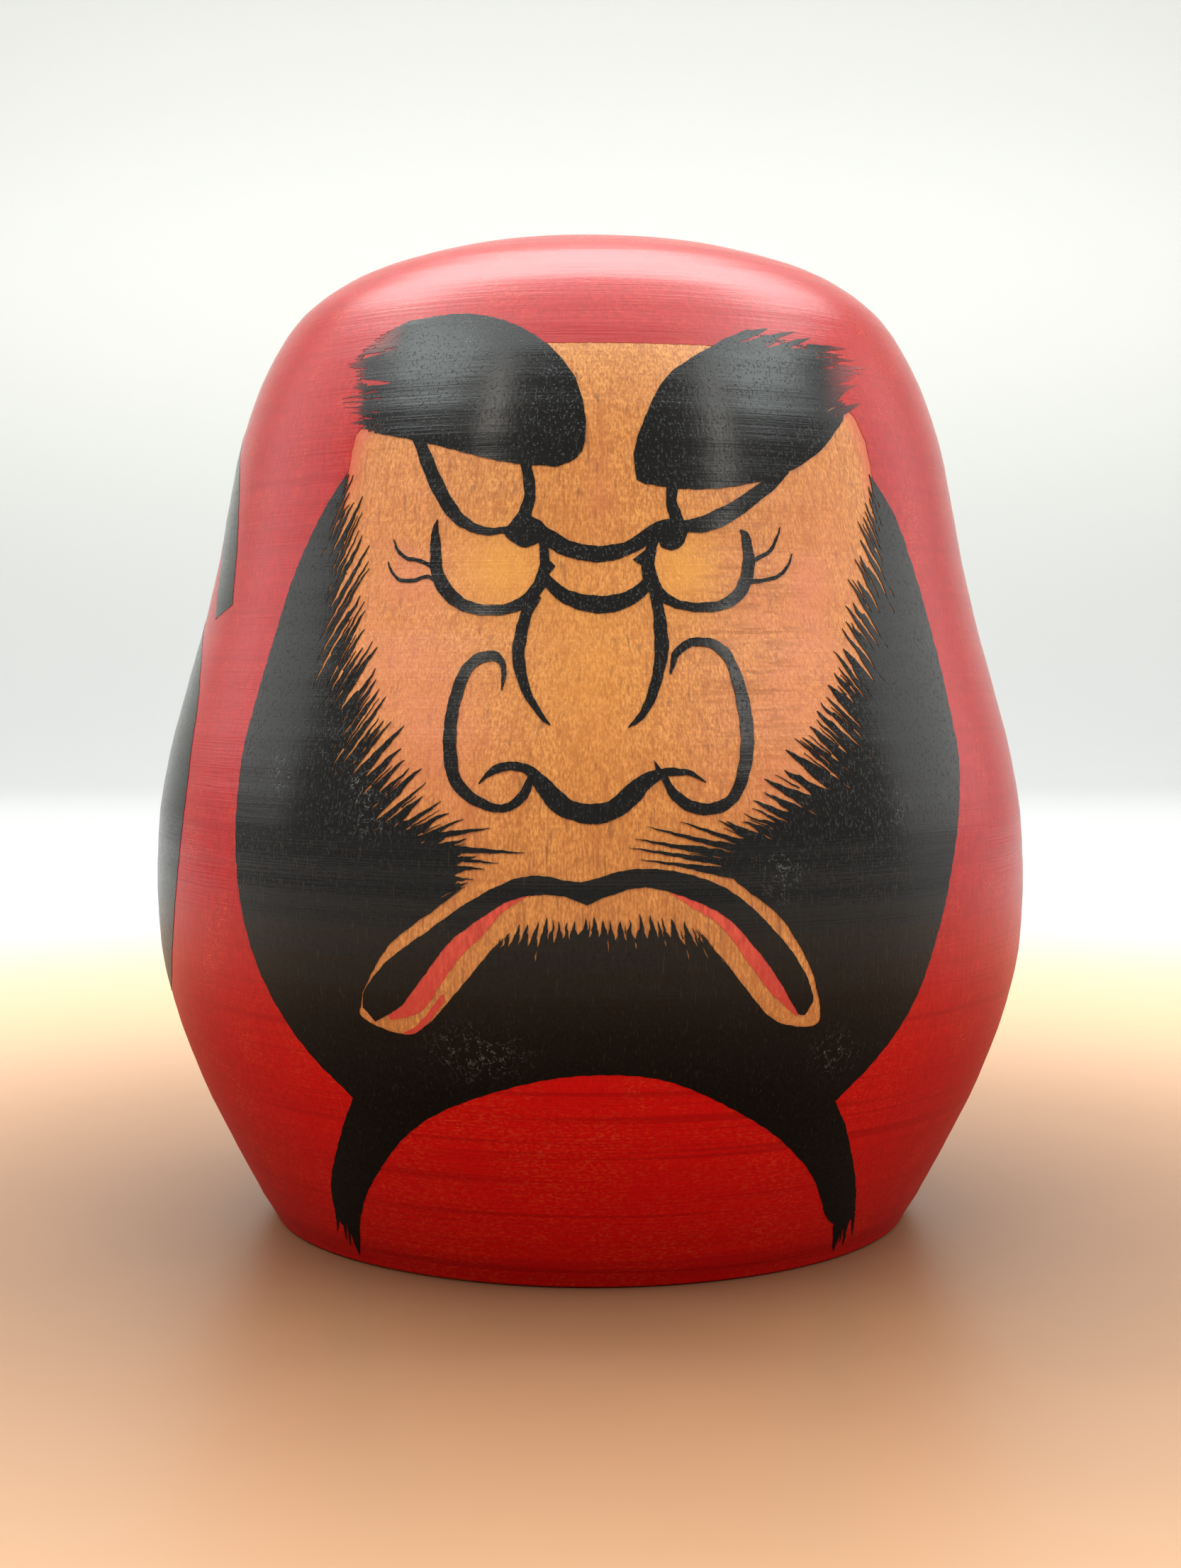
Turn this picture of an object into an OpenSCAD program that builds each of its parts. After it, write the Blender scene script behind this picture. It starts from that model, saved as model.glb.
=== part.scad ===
// A turned wooden daruma doll: a hollow body closed by a glued foot disc, with the
// red dye, the bare-wood face and every black brush stroke as its own thin coat.
// +Z is up, the face looks along -Y, and the origin is the middle of the underside.
// Outline points are [x, z] in millimetres on a doll 108 wide and 120 high, seen
// from the front, and width and height below scale them.

/* [Doll] */
// Height of the doll
doll_h = 120; // [90:1:150]
// Diameter at the widest turn of the belly
belly_d = 108; // [81:1:135]
// Thickness of a coat of dye or ink
coat_t = 0.15; // [0.1:0.05:0.3]

/* [Wood] */
// Wall of the hollowed body at the belly
wall_t = 11; // [9:0.5:14]
// Height of the foot disc that shows under the body
foot_h = 3.5; // [2.5:0.5:5]
// Radius of the mouth that the body is hollowed through
mouth_r = 30; // [26:1:32]
// Depth that the spigot of the foot disc enters the mouth
spigot_h = 5; // [3:0.5:7]
// Clearance for glue around the spigot
glue_gap = 0.1; // [0.05:0.05:0.3]
// Bevel on the lower edge of the foot disc
bevel = 0.5; // [0.3:0.1:0.8]

/* [Brushwork] */
// Hairs along each side of the beard
beard_hairs = 18; // [8:1:24]
// Hairs of each half of the moustache
moustache_hairs = 5; // [3:1:7]
// Hairs on the chin
chin_hairs = 11; // [6:1:15]

/* [Hidden] */

// Left and right are the viewer's, looking at the face.
WIDE = belly_d / 108;
HIGH = doll_h / 120;
STEPS = 3;            // pieces of a smooth run between two of its points
TURN_FN = 96;
REACH = belly_d;      // longer than any cut through one side of the doll

WOOD = "burlywood";
DYE = "firebrick";
INK = [0.13, 0.13, 0.13];
LIP = "crimson";

// ---- smooth runs and brush strokes ----

function mix(a, b, t) = a + (b - a) * t;

// Point at t from b to c, on the curve through a, b, c and d.
function bend(a, b, c, d, t) =
    0.5 * (2 * b + (c - a) * t + (2 * a - 5 * b + 4 * c - d) * t * t
    + (3 * b - a - 3 * c + d) * t * t * t);

// A smooth open run through the points.
function run(p, steps = STEPS) = let (n = len(p)) [
    for (i = [0 : n - 2], k = [0 : steps - 1])
        bend(p[max(i - 1, 0)], p[i], p[i + 1], p[min(i + 2, n - 1)], k / steps),
    p[n - 1]
];

function unit(v) = v / max(norm(v), 1e-6);
function heading(p, i) = unit([for (k = [0, 1])
    p[min(i + 1, len(p) - 1)][k] - p[max(i - 1, 0)][k]]);
function side(p, i, s) = let (h = heading(p, i), w = p[i][2] / 2 * s)
    [p[i][0] - h[1] * w, p[i][1] + h[0] * w];

// A brush stroke along points [x, z, width].
function stroke(points) = let (p = run(points), n = len(p)) concat(
    [for (i = [0 : n - 1]) side(p, i, 1)],
    [for (i = [n - 1 : -1 : 0]) side(p, i, -1)]);

// A row of hairs along a run: each gap reaches back into the ink and each tip out
// of it, in a direction that turns from one angle to another.
function uneven(i) = 0.5 + 0.5 * sin(i * 137 + 40);
function hairs(points, n, angles, tips, gaps) =
    let (p = run(points), last = len(p) - 1)
    [for (i = [0 : n - 1], out = [0, 1])
        let (t = (i + out / 2) / n,
             j = t * last,
             at = mix(p[floor(j)], p[min(floor(j) + 1, last)], j - floor(j)),
             a = mix(angles[0], angles[1], t),
             reach = out == 1 ? mix(tips[0], tips[1], t) * mix(0.5, 1, uneven(i))
                 : -mix(gaps[0], gaps[1], t) * mix(0.3, 1, uneven(i + 5)))
        at + reach * [cos(a), sin(a)]];

module outline(points) polygon([for (p = points) [p[0] * WIDE, p[1] * HIGH]]);
module brush(points) outline(stroke(points));

// ---- turned profile, [radius, z] ----

TURNED = [
    [41.9, foot_h / HIGH], [44.2, 8], [48.1, 16], [51.2, 24], [53.3, 32], [54, 42],
    [53.35, 52], [51.2, 62], [48.4, 72], [45.6, 84], [43.1, 96], [40.1, 104],
    [36.3, 110], [31.3, 114], [24.1, 117], [13, 119.3], [0, 120]
];
FOOT_R = 40 * WIDE;
PROFILE = [for (p = run(concat(TURNED, [[-13, 119.3]]), 2)) if (p[0] >= 0)
    [p[0] * WIDE, p[1] * HIGH]];
LAST = len(PROFILE) - 1;

// The profile under the coats: moved in along its normal, and level at both ends.
function inward(i) = i == 0 ? [-1, 0] : i == LAST ? [0, -1]
    : let (h = heading(PROFILE, i)) [-h[1], h[0]];
UNDER = [for (i = [0 : LAST]) PROFILE[i] + coat_t * inward(i)];

function in_band(z, low, high) = z >= low * HIGH && z <= high * HIGH;
function band(profile, low, high) =
    [for (i = [0 : LAST]) if (in_band(PROFILE[i][1], low, high)) profile[i]];
function reversed(p) = [for (i = [len(p) - 1 : -1 : 0]) p[i]];

// The coat all round the body between two heights.
module coat(low = 0, high = 120)
    rotate_extrude($fn = TURN_FN)
        polygon(concat(band(PROFILE, low, high), reversed(band(UNDER, low, high))));

// What lies in front of or behind an outline, from the axis outwards.
module ahead() rotate([90, 0, 0]) linear_extrude(REACH) children();

// A coat only where the outline is, with room for it between low and high.
module painted(low, high) intersection() {
    coat(low, high);
    ahead() children();
}

// ---- outlines of the brushwork ----

// The first part of a run, up to one of its points, and the rest of it.
function head(p, points) = [for (i = [0 : points * STEPS]) p[i]];
function tail(p, points) = [for (i = [points * STEPS : len(p) - 1]) p[i]];

// Each brow's inner edge crosses the lower edge of the hood at its point HOOD_AT.
HOOD_Z = 102.6;
HOOD_AT = 4;
BROW_LEFT_EDGE = run([[-24.4, 104.2], [-20, 106], [-14, 106.4], [-9, 105.2],
                      [-4.8, HOOD_Z], [-1.8, 99], [-0.6, 95], [-0.6, 92], [-1.5, 89.9]]);
BROW_LEFT_UNDER = run([[-3.5, 89.1], [-9.7, 89.8], [-17.6, 92], [-22.6, 93.2]]);
BROW_LEFT_HAIRS = hairs([[-24.8, 94.2], [-25.2, 98], [-25, 102], [-24.4, 103.6]], 7,
                        [190, 172], [1.8, 2.2], [0.4, 1.2]);
BROW_LEFT = concat(BROW_LEFT_EDGE, BROW_LEFT_UNDER, BROW_LEFT_HAIRS);

BROW_RIGHT_EDGE = run([[4.9, 87.7], [4.6, 90.5], [5.6, 94], [8.2, 99], [13.2, HOOD_Z],
                       [15.9, 104], [19.2, 105]]);
BROW_RIGHT_HAIRS = hairs([[20.5, 104.4], [25, 103], [28.5, 101], [29, 98]], 8,
                         [24, 40], [1.6, 1.8], [0.8, 0.4]);
BROW_RIGHT = concat(BROW_RIGHT_EDGE, BROW_RIGHT_HAIRS,
    run([[28.3, 95.6], [25.4, 91.9], [22.9, 89.9], [20.8, 88.4]]),
    run([[19.2, 88], [14, 86.8], [10, 86.8], [5.8, 87.3]]));

LID_LEFT = [[-18.8, 93.4, 1.2], [-17, 88.8, 1.5], [-15.5, 85.8, 1.5], [-13.8, 83.6, 1.3],
            [-11.4, 82.4, 0.9], [-9.2, 82.4, 0.7], [-7.5, 82.6, 1]];
INNER_LEFT = [[-7, 90.4, 1.1], [-6.5, 87.6, 1.2], [-6.4, 86, 1.2], [-6.9, 84.2, 1.4],
              [-7.6, 82.8, 1.8]];
KNOT_LEFT = [[-9.2, 82.2], [-7.8, 83.8], [-6.3, 83.9], [-4.9, 83], [-4.6, 82], [-5.6, 81],
             [-7, 80.6], [-8.4, 81.3]];
LID_RIGHT = [[9, 82.8, 1.1], [11.5, 83, 1.6], [13, 83.5, 1.9], [15, 84.5, 1.8],
             [17, 85.9, 1.6], [19.4, 87.8, 1.5], [20.8, 89.4, 1.5]];
INNER_RIGHT = [[8.8, 87.6, 1.4], [8.5, 85.5, 1.1], [8.9, 84.2, 1.3], [9.2, 83, 1.5]];
KNOT_RIGHT = [[6.8, 82.8], [8, 83.6], [9.3, 83.5], [10.2, 82.8], [10, 81.4], [9.3, 80.6],
              [8.4, 80.3], [7.4, 80.8]];

POUCH_LEFT = [[-16.3, 83.7, 0.1], [-16.5, 82, 0.9], [-16.4, 80, 1.2], [-16.3, 78.3, 1.3],
              [-15.5, 76.5, 1.5], [-14.1, 75, 1.4], [-12.3, 74.2, 1.2], [-10.4, 74, 1.1],
              [-8.4, 74.2, 1.1], [-6.6, 75.1, 1.3], [-5.4, 76.6, 1.3], [-4.8, 78.6, 1.1],
              [-4.9, 80.4, 0.9], [-5.2, 81.6, 0.8]];
SPUR_LEFT = [[-4.8, 79.4], [-4, 79], [-3.7, 78.6], [-4.5, 77.5]];
POUCH_RIGHT = [[6.8, 81.6, 0.9], [6.1, 79.6, 1.3], [6.1, 78, 1.5], [6.7, 76.4, 1.4],
               [7.9, 75.2, 1.1], [9.6, 74.5, 0.9], [11.7, 74.3, 1], [13.9, 74.6, 1.1],
               [15.5, 75.6, 1.3], [16.4, 77.1, 1.4], [16.8, 79, 1.3], [16.7, 80.7, 1.1],
               [16.4, 82, 0.8], [15.9, 82.6, 0.2]];
SPUR_RIGHT = [[4.4, 79.3], [5.4, 78.6], [5.7, 77.4]];

LASHES_LEFT = [
    [[-21.1, 81.7, 0.1], [-20.6, 80.5, 0.3], [-19.7, 79.7, 0.4], [-18.6, 79.4, 0.4],
     [-17.8, 79.2, 0.4], [-16.6, 78.6, 0.5]],
    [[-21.7, 79.3, 0.1], [-21.1, 78, 0.3], [-20.2, 77.3, 0.4], [-18.9, 77.2, 0.4],
     [-17.4, 77.6, 0.4], [-16, 77, 0.5]]];
LASHES_RIGHT = [
    [[20.3, 83, 0.1], [19.8, 81.5, 0.3], [18.9, 80.2, 0.4], [17, 79.2, 0.5]],
    [[21.6, 80.2, 0.1], [21.1, 78.8, 0.3], [19.8, 77.6, 0.4], [18.6, 77.3, 0.4],
     [16.6, 77, 0.5]]];

BRIDGE_UPPER = [[-6.2, 82.6, 1.8], [-4, 81.3, 1.8], [-2.3, 80.4, 1.7], [0, 79.9, 1.7],
                [1.6, 79.9, 1.7], [3.4, 80.3, 1.5], [4.9, 81, 1.4], [6.3, 82, 1.6],
                [8, 82.8, 1.6]];
BRIDGE_LOWER = [[-4.9, 77.4, 1.2], [-3.2, 75.8, 1.4], [-1.6, 75, 1.6], [0.3, 74.6, 1.8],
                [2, 74.6, 1.8], [3.8, 75.1, 1.6], [5.2, 76, 1.4], [6.3, 77.2, 1.2]];
NOSE_SIDE_LEFT = [[-5.7, 75.6, 1.3], [-6.7, 73.6, 1.2], [-7.2, 71.6, 1.3], [-7.5, 69.4, 1.3],
                  [-7.2, 67.4, 1.2], [-6.6, 65.5, 0.9], [-5.6, 63.8, 0.7], [-4.7, 62.6, 0.4],
                  [-4.1, 62.1, 0.1]];
NOSE_SIDE_RIGHT = [[6.6, 76.4, 1.2], [7.1, 74, 1.2], [7.3, 72, 1.4], [7.4, 70, 1.5],
                   [7.1, 67.8, 1.2], [6.5, 65.6, 1.1], [5.8, 63.9, 0.9], [4.8, 62.6, 0.6],
                   [3.9, 61.9, 0.1]];
NOSTRIL_LEFT = [[-9.2, 65.6, 0.1], [-9, 67.2, 0.5], [-9.2, 68.6, 0.7], [-10.2, 69.2, 1.1],
                [-11.7, 68.9, 1.1], [-12.9, 67.8, 1.2], [-13.7, 66, 1.3], [-14.4, 63.3, 1.3],
                [-14.6, 60.4, 1.4], [-14.4, 58, 1.4], [-13.9, 56.3, 1.3], [-12.5, 54.8, 1.2],
                [-10.7, 53.9, 1], [-9.3, 53.6, 0.8], [-8, 54, 0.9], [-6.9, 55, 1],
                [-6, 57, 0.6]];
NOSTRIL_RIGHT = [[8.3, 67.4, 0.2], [8.6, 68.6, 0.6], [9, 69.6, 0.8], [10.2, 70.5, 0.9],
                 [11.5, 70.7, 0.9], [12.7, 70.5, 1], [13.9, 69.7, 1.1], [14.8, 68.3, 1.1],
                 [15.5, 66.2, 1.3], [16, 64, 1.4], [16.3, 61.5, 1.4], [16.2, 59, 1.4],
                 [15.7, 56.7, 1.3], [15, 55, 1.2], [13.8, 53.9, 1.2], [12.2, 53.5, 1.2],
                 [10.6, 53.7, 1.2], [9.2, 54.5, 1.1], [8.2, 55.6, 0.9], [7.4, 57.2, 0.6]];
NOSE_TIP = [[-11.5, 56.1, 0.1], [-10.5, 57.1, 0.6], [-9.2, 57.8, 0.9], [-7.8, 57.9, 0.9],
            [-6.5, 57.6, 1], [-5.5, 56.7, 1.4], [-4.4, 55.4, 1.9], [-3.1, 54.1, 2.1],
            [-1.7, 53.4, 1.9], [0, 53.1, 2.1], [1.7, 53.3, 2], [3, 54, 2], [4.3, 55.1, 2.1],
            [5.4, 56.2, 1.7], [6.6, 56.9, 1.2], [8, 57.3, 0.9], [9.3, 57.3, 0.7],
            [10.5, 57.1, 0.5], [11.9, 56.2, 0.1]];
NOSE_SPUR = [[6.5, 58.5], [7.7, 57.2], [6.8, 57]];

MOUTH_TOP = run([[-24, 32.4], [-23.6, 34.5], [-21, 37.7], [-16.8, 40.9], [-12.7, 43.9],
                 [-8.2, 46.3], [-5, 46.8], [-1, 46.2], [3.7, 47.4], [8.2, 47.3],
                 [12.7, 46], [16, 43.9], [20, 39.8], [22.4, 36.3], [23.4, 33.3],
                 [22.5, 31.6]]);
MOUTH_LOW_LEFT = run([[-0.4, 43.8], [-3.4, 44.8], [-7.8, 44.4], [-11.9, 41.9],
                      [-14.9, 39.4], [-18.1, 35], [-20, 32.6], [-22.6, 30.9]]);
MOUTH_LOW_RIGHT = run([[21.8, 31.7], [19.8, 35.3], [17.7, 38.3], [14.2, 42.2],
                       [10.1, 44.4], [5.6, 45.6], [2, 44.8], [-0.4, 43.8]]);
MOUTH = concat(MOUTH_TOP, MOUTH_LOW_RIGHT, MOUTH_LOW_LEFT);
LIP_LEFT = concat(run([[-6.2, 44.9], [-10.5, 41.9], [-13.8, 39.1], [-16.1, 35.9],
                       [-18.1, 33.1], [-21, 31.2]]),
                  [[-22, 32.6], [-15, 41], [-9, 45.4]]);
LIP_RIGHT = concat(run([[7.8, 45.3], [10.1, 43.7], [13.4, 41.5], [16, 38.1],
                        [18.7, 34.4], [21.6, 31.5]]),
                   [[22.2, 33], [16.5, 41.4], [11, 45.2]]);

// The bare wood that the beard leaves around the mouth, and the beard's own edges.
HALO_LEFT = run([[-9.6, 39.8], [-12.3, 36.5], [-15.7, 32.3], [-19, 29.7], [-24.1, 31.2],
                 [-23.9, 34.2], [-20.9, 39.3], [-15.7, 43.4], [-13, 45.4]]);
HALO_RIGHT = run([[16, 45.2], [19.8, 42.1], [22.95, 37], [24.3, 31.6], [22.2, 30.3],
                  [18.8, 31.6], [14.5, 37], [11.5, 40.6]]);
MOUSTACHE_LEFT = hairs([[-16.5, 51.5], [-14.6, 48.6], [-13.6, 46]], moustache_hairs,
                       [16, 32], [6, 4], [0.6, 1.5]);
MOUSTACHE_RIGHT = hairs([[15.4, 46.2], [14.2, 48.4], [16, 50.8]], moustache_hairs,
                        [162, 168], [5, 9], [1.5, 0.6]);
CHIN = hairs([[11.5, 40.4], [6, 41], [0, 41], [-5, 40.8], [-9.6, 39.8]], chin_hairs,
             [100, 74], [2.4, 1.6], [0.6, 0.4]);
SIDE_HAIR_LEFT = hairs([[-27, 87.4], [-26, 80], [-25.6, 74], [-24.8, 68], [-22.4, 60],
                        [-18.8, 54], [-16.5, 51.5]], beard_hairs,
                       [66, 22], [2.6, 3], [2.2, 1.6]);
SIDE_HAIR_RIGHT = hairs([[16, 50.8], [20, 54.6], [24.6, 60], [27.6, 66], [29.4, 73],
                         [30.2, 80], [31.2, 87.4]], beard_hairs,
                        [158, 118], [3, 2.6], [1.6, 2.2]);
BEARD_LEFT = run([[-25.5, 21.9], [-31.7, 28], [-36.4, 35.9], [-38.6, 44], [-39, 52],
                  [-38.3, 59.4], [-36.2, 67.4], [-33, 77.6], [-30, 84], [-26.6, 89.2]]);
BEARD_RIGHT = run([[31, 89.4], [34.6, 84], [38.1, 73.4], [40.6, 62.2], [41.2, 55],
                   [39.4, 44], [36.1, 33.5], [32.2, 27.1], [26.4, 21.3]]);
TAILS = concat(run([[27.8, 18.3], [29.6, 11.3], [30, 5.6]]), [[29.4, 4.2]],
    run([[27.8, 4.6], [26.4, 6.6], [24.3, 12.4], [19.9, 17.9], [14.1, 22.1],
         [7.6, 25.2], [0.6, 25.9], [-6.5, 24.9], [-14.7, 21.8], [-20, 17.7],
         [-24.4, 10.7], [-26.1, 5]]), [[-27.4, 4.2]],
    run([[-28.8, 4.6], [-28.9, 11.3], [-26.7, 18.9]]));
BEARD = concat(BEARD_LEFT, SIDE_HAIR_LEFT, MOUSTACHE_LEFT, reversed(HALO_LEFT),
    reversed(CHIN), reversed(HALO_RIGHT), MOUSTACHE_RIGHT, SIDE_HAIR_RIGHT, BEARD_RIGHT,
    TAILS);

// All that the red leaves free in front: between the hood's straight lower edge, the
// brows, the bare temples and the beard's outer edge.
ROBE_WINDOW = concat(BEARD_LEFT, run([[-26.2, 91], [-25.4, 93.2]]), BROW_LEFT_HAIRS,
    head(BROW_LEFT_EDGE, HOOD_AT), tail(BROW_RIGHT_EDGE, HOOD_AT), BROW_RIGHT_HAIRS,
    run([[29.2, 96], [31, 92.4], [31.3, 90.6]]), BEARD_RIGHT, TAILS);

// Folds of the sleeve on one side, [across, z] on a sheet that faces SLEEVE_TURN.
SLEEVE_TURN = -78;
FOLD_UPPER = concat(run([[-8, 98.6], [-2, 96.4], [4.8, 91.5], [9.1, 86], [12.5, 79],
                         [14.4, 75.2]]),
                    run([[9, 73.6], [3.5, 80.4], [0, 84.6], [-4, 90.2], [-8.6, 94.4]]));
FOLD_LOWER = concat(run([[-2.6, 73.6], [5.3, 70.2], [9.7, 66.4], [12.9, 61.6], [15.5, 53],
                         [15.2, 46.6], [13.8, 40.4], [10.8, 34.4], [7.7, 31.2],
                         [2.4, 28.8]]),
                    run([[-5, 27.6], [-11, 33.4], [-14.2, 43], [-14.6, 53], [-12.2, 63],
                         [-7.4, 70.4]]));

module sleeve(points) rotate([0, 0, SLEEVE_TURN]) ahead() outline(points);

// ---- sub-parts ----

// Hollow up the middle, with a wall that follows the outside.
module body() color(WOOD) difference() {
    rotate_extrude($fn = TURN_FN)
        polygon(concat(UNDER, [[0, foot_h]]));
    rotate_extrude($fn = TURN_FN)
        polygon(concat([[0, foot_h], [mouth_r, foot_h], [mouth_r, foot_h + spigot_h + 1]],
            run([[belly_d / 2 - wall_t - 3, 28 * HIGH], [belly_d / 2 - wall_t, 42 * HIGH],
                 [belly_d / 2 - wall_t - 3, 62 * HIGH], [belly_d / 2 - wall_t - 8, 84 * HIGH],
                 [belly_d / 2 - wall_t - 18, 99 * HIGH], [0, 104 * HIGH]])));
}

// The plain disc under the body, with the spigot that is glued into its mouth.
module foot_disc() color(WOOD) rotate_extrude($fn = TURN_FN)
    polygon([[0, 0], [FOOT_R - coat_t - bevel, 0], [FOOT_R - coat_t, bevel],
        UNDER[0], [mouth_r - glue_gap, foot_h],
        [mouth_r - glue_gap, foot_h + spigot_h], [0, foot_h + spigot_h]]);

module foot_dye() color(DYE) rotate_extrude($fn = TURN_FN)
    polygon([[FOOT_R - coat_t, bevel], [FOOT_R, bevel], PROFILE[0], UNDER[0]]);

// Red over the whole body but for the face and what the ink covers.
module robe_dye() color(DYE) difference() {
    coat();
    ahead() outline(ROBE_WINDOW);
    sleeve(FOLD_UPPER);
    sleeve(FOLD_LOWER);
}

module brow_left() color(INK) painted(80, 112) outline(BROW_LEFT);
module brow_right() color(INK) painted(80, 112) outline(BROW_RIGHT);

module lid_line_left() color(INK) painted(72, 100) difference() {
    union() {
        brush(LID_LEFT);
        brush(INNER_LEFT);
        outline(KNOT_LEFT);
    }
    outline(BROW_LEFT);
}
module lid_line_right() color(INK) painted(72, 100) difference() {
    union() {
        brush(LID_RIGHT);
        brush(INNER_RIGHT);
        outline(KNOT_RIGHT);
    }
    outline(BROW_RIGHT);
}

module bridge_line_upper() color(INK) painted(72, 92) difference() {
    brush(BRIDGE_UPPER);
    brush(LID_LEFT);
    outline(KNOT_LEFT);
    outline(KNOT_RIGHT);
    brush(INNER_LEFT);
}

module pouch_left_flat() union() {
    brush(POUCH_LEFT);
    outline(SPUR_LEFT);
}
module pouch_right_flat() union() {
    brush(POUCH_RIGHT);
    outline(SPUR_RIGHT);
}
module eye_pouch_left() color(INK) painted(64, 92) difference() {
    pouch_left_flat();
    outline(KNOT_LEFT);
    brush(BRIDGE_UPPER);
}
module eye_pouch_right() color(INK) painted(64, 92) difference() {
    pouch_right_flat();
    outline(KNOT_RIGHT);
    brush(BRIDGE_UPPER);
}

module lashes_left() color(INK) painted(72, 88) difference() {
    for (lash = LASHES_LEFT) brush(lash);
    pouch_left_flat();
}
module lashes_right() color(INK) painted(72, 88) difference() {
    for (lash = LASHES_RIGHT) brush(lash);
    pouch_right_flat();
}

module bridge_line_lower() color(INK) painted(64, 84) difference() {
    brush(BRIDGE_LOWER);
    pouch_left_flat();
    pouch_right_flat();
    brush(NOSE_SIDE_LEFT);
    brush(NOSE_SIDE_RIGHT);
}

module nose_side_left() color(INK) painted(56, 84) difference() {
    brush(NOSE_SIDE_LEFT);
    pouch_left_flat();
}
module nose_side_right() color(INK) painted(56, 84) difference() {
    brush(NOSE_SIDE_RIGHT);
    pouch_right_flat();
}

module nose_tip_flat() union() {
    brush(NOSE_TIP);
    outline(NOSE_SPUR);
}
module nose_tip_line() color(INK) painted(44, 64) nose_tip_flat();
module nostril_left() color(INK) painted(44, 78) difference() {
    brush(NOSTRIL_LEFT);
    nose_tip_flat();
}
module nostril_right() color(INK) painted(44, 78) difference() {
    brush(NOSTRIL_RIGHT);
    nose_tip_flat();
}

module mouth_line() color(INK) painted(24, 56) outline(MOUTH);
module lip_left() color(LIP) painted(24, 52) difference() {
    outline(LIP_LEFT);
    outline(MOUTH);
}
module lip_right() color(LIP) painted(24, 52) difference() {
    outline(LIP_RIGHT);
    outline(MOUTH);
}

module beard() color(INK) painted(0, 96) outline(BEARD);

module sleeve_stroke_upper() color(INK) intersection() {
    coat(64, 104);
    sleeve(FOLD_UPPER);
}
module sleeve_stroke_lower() color(INK) intersection() {
    coat(16, 84);
    sleeve(FOLD_LOWER);
}

body();
foot_disc();
robe_dye();
foot_dye();
brow_left();
brow_right();
lid_line_left();
lid_line_right();
eye_pouch_left();
eye_pouch_right();
lashes_left();
lashes_right();
bridge_line_upper();
bridge_line_lower();
nose_side_left();
nose_side_right();
nostril_left();
nostril_right();
nose_tip_line();
mouth_line();
lip_left();
lip_right();
beard();
sleeve_stroke_upper();
sleeve_stroke_lower();
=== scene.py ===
"""The look of a turned and painted wooden daruma doll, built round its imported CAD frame.

Shapes are written in nominal millimetres, on a doll 108 across the belly and 120 high, and
scaled to the frame. Every coat of dye or ink is its own thin closed piece on the wood. Left
and right are the viewer's, looking at the face, which looks along -Y.
"""

import math

import bpy
import numpy as np
from mathutils.geometry import delaunay_2d_cdt
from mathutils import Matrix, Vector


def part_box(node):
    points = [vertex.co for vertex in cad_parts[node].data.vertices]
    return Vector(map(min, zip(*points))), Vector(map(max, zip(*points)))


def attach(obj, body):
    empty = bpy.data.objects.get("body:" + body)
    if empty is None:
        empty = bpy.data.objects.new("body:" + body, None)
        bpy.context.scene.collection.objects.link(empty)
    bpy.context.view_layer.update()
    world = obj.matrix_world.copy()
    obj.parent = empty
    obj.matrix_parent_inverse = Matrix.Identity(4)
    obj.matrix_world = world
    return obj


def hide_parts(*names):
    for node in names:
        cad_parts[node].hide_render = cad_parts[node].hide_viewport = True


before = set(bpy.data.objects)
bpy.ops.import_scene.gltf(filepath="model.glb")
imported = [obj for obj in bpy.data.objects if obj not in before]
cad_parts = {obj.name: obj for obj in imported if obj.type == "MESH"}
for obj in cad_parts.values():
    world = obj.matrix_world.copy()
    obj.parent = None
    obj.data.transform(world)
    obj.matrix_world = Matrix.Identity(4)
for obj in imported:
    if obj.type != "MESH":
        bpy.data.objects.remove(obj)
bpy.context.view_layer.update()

# ---- sizes taken from the frame ----

BELLY_R = 54.0
TALL = 120.0
robe_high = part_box("robe_dye")[1]
foot_low, foot_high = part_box("foot_dye")
ACROSS = robe_high.x / BELLY_R
UP = robe_high.z / TALL
TO_FRAME = np.array([ACROSS, ACROSS, UP])
# Numbers this small count as nothing, and heights or places this near as the same.
TINY = 1e-9
LEVEL = 0.02
SAME = 1e-3


def reach(node, height):
    """How far a CAD node gets from the axis at a height, both in nominal millimetres."""
    points = np.array([v.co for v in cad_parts[node].data.vertices]) / TO_FRAME
    level = np.abs(points[:, 2] - height) < LEVEL
    return float(np.hypot(points[level, 0], points[level, 1]).max())


FOOT_TOP = foot_high.z / UP
FOOT_BEVEL = foot_low.z / UP
FOOT_R = reach("foot_dye", FOOT_BEVEL)
FOOT_TOP_R = reach("foot_dye", FOOT_TOP)
SPIGOT_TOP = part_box("foot_disc")[1].z / UP
SPIGOT_R = reach("foot_disc", SPIGOT_TOP)
SPIGOT_CHAMFER = 0.4
GLUE_GAP = 0.1
MOUTH_R = SPIGOT_R + GLUE_GAP
MOUTH_TOP_Z = SPIGOT_TOP + 1
COAT = 0.15
# Heights at which the CAD's outside is read, and the hollow as [radius, height].
RING_HEIGHTS = [8, 16, 24, 32, 42, 52, 62, 72, 84, 96, 104, 110, 114, 117, 119.3]
CAVITY = [(40, 28), (43, 42), (40, 62), (35, 84), (25, 99), (0, 104)]

# How close the points of a mesh lie, under dye and under ink, and how many stand in a ring.
SPACING = 1.2
FINE_SPACING = 0.8
COLUMNS = 288

# ---- the turned surface ----


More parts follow.
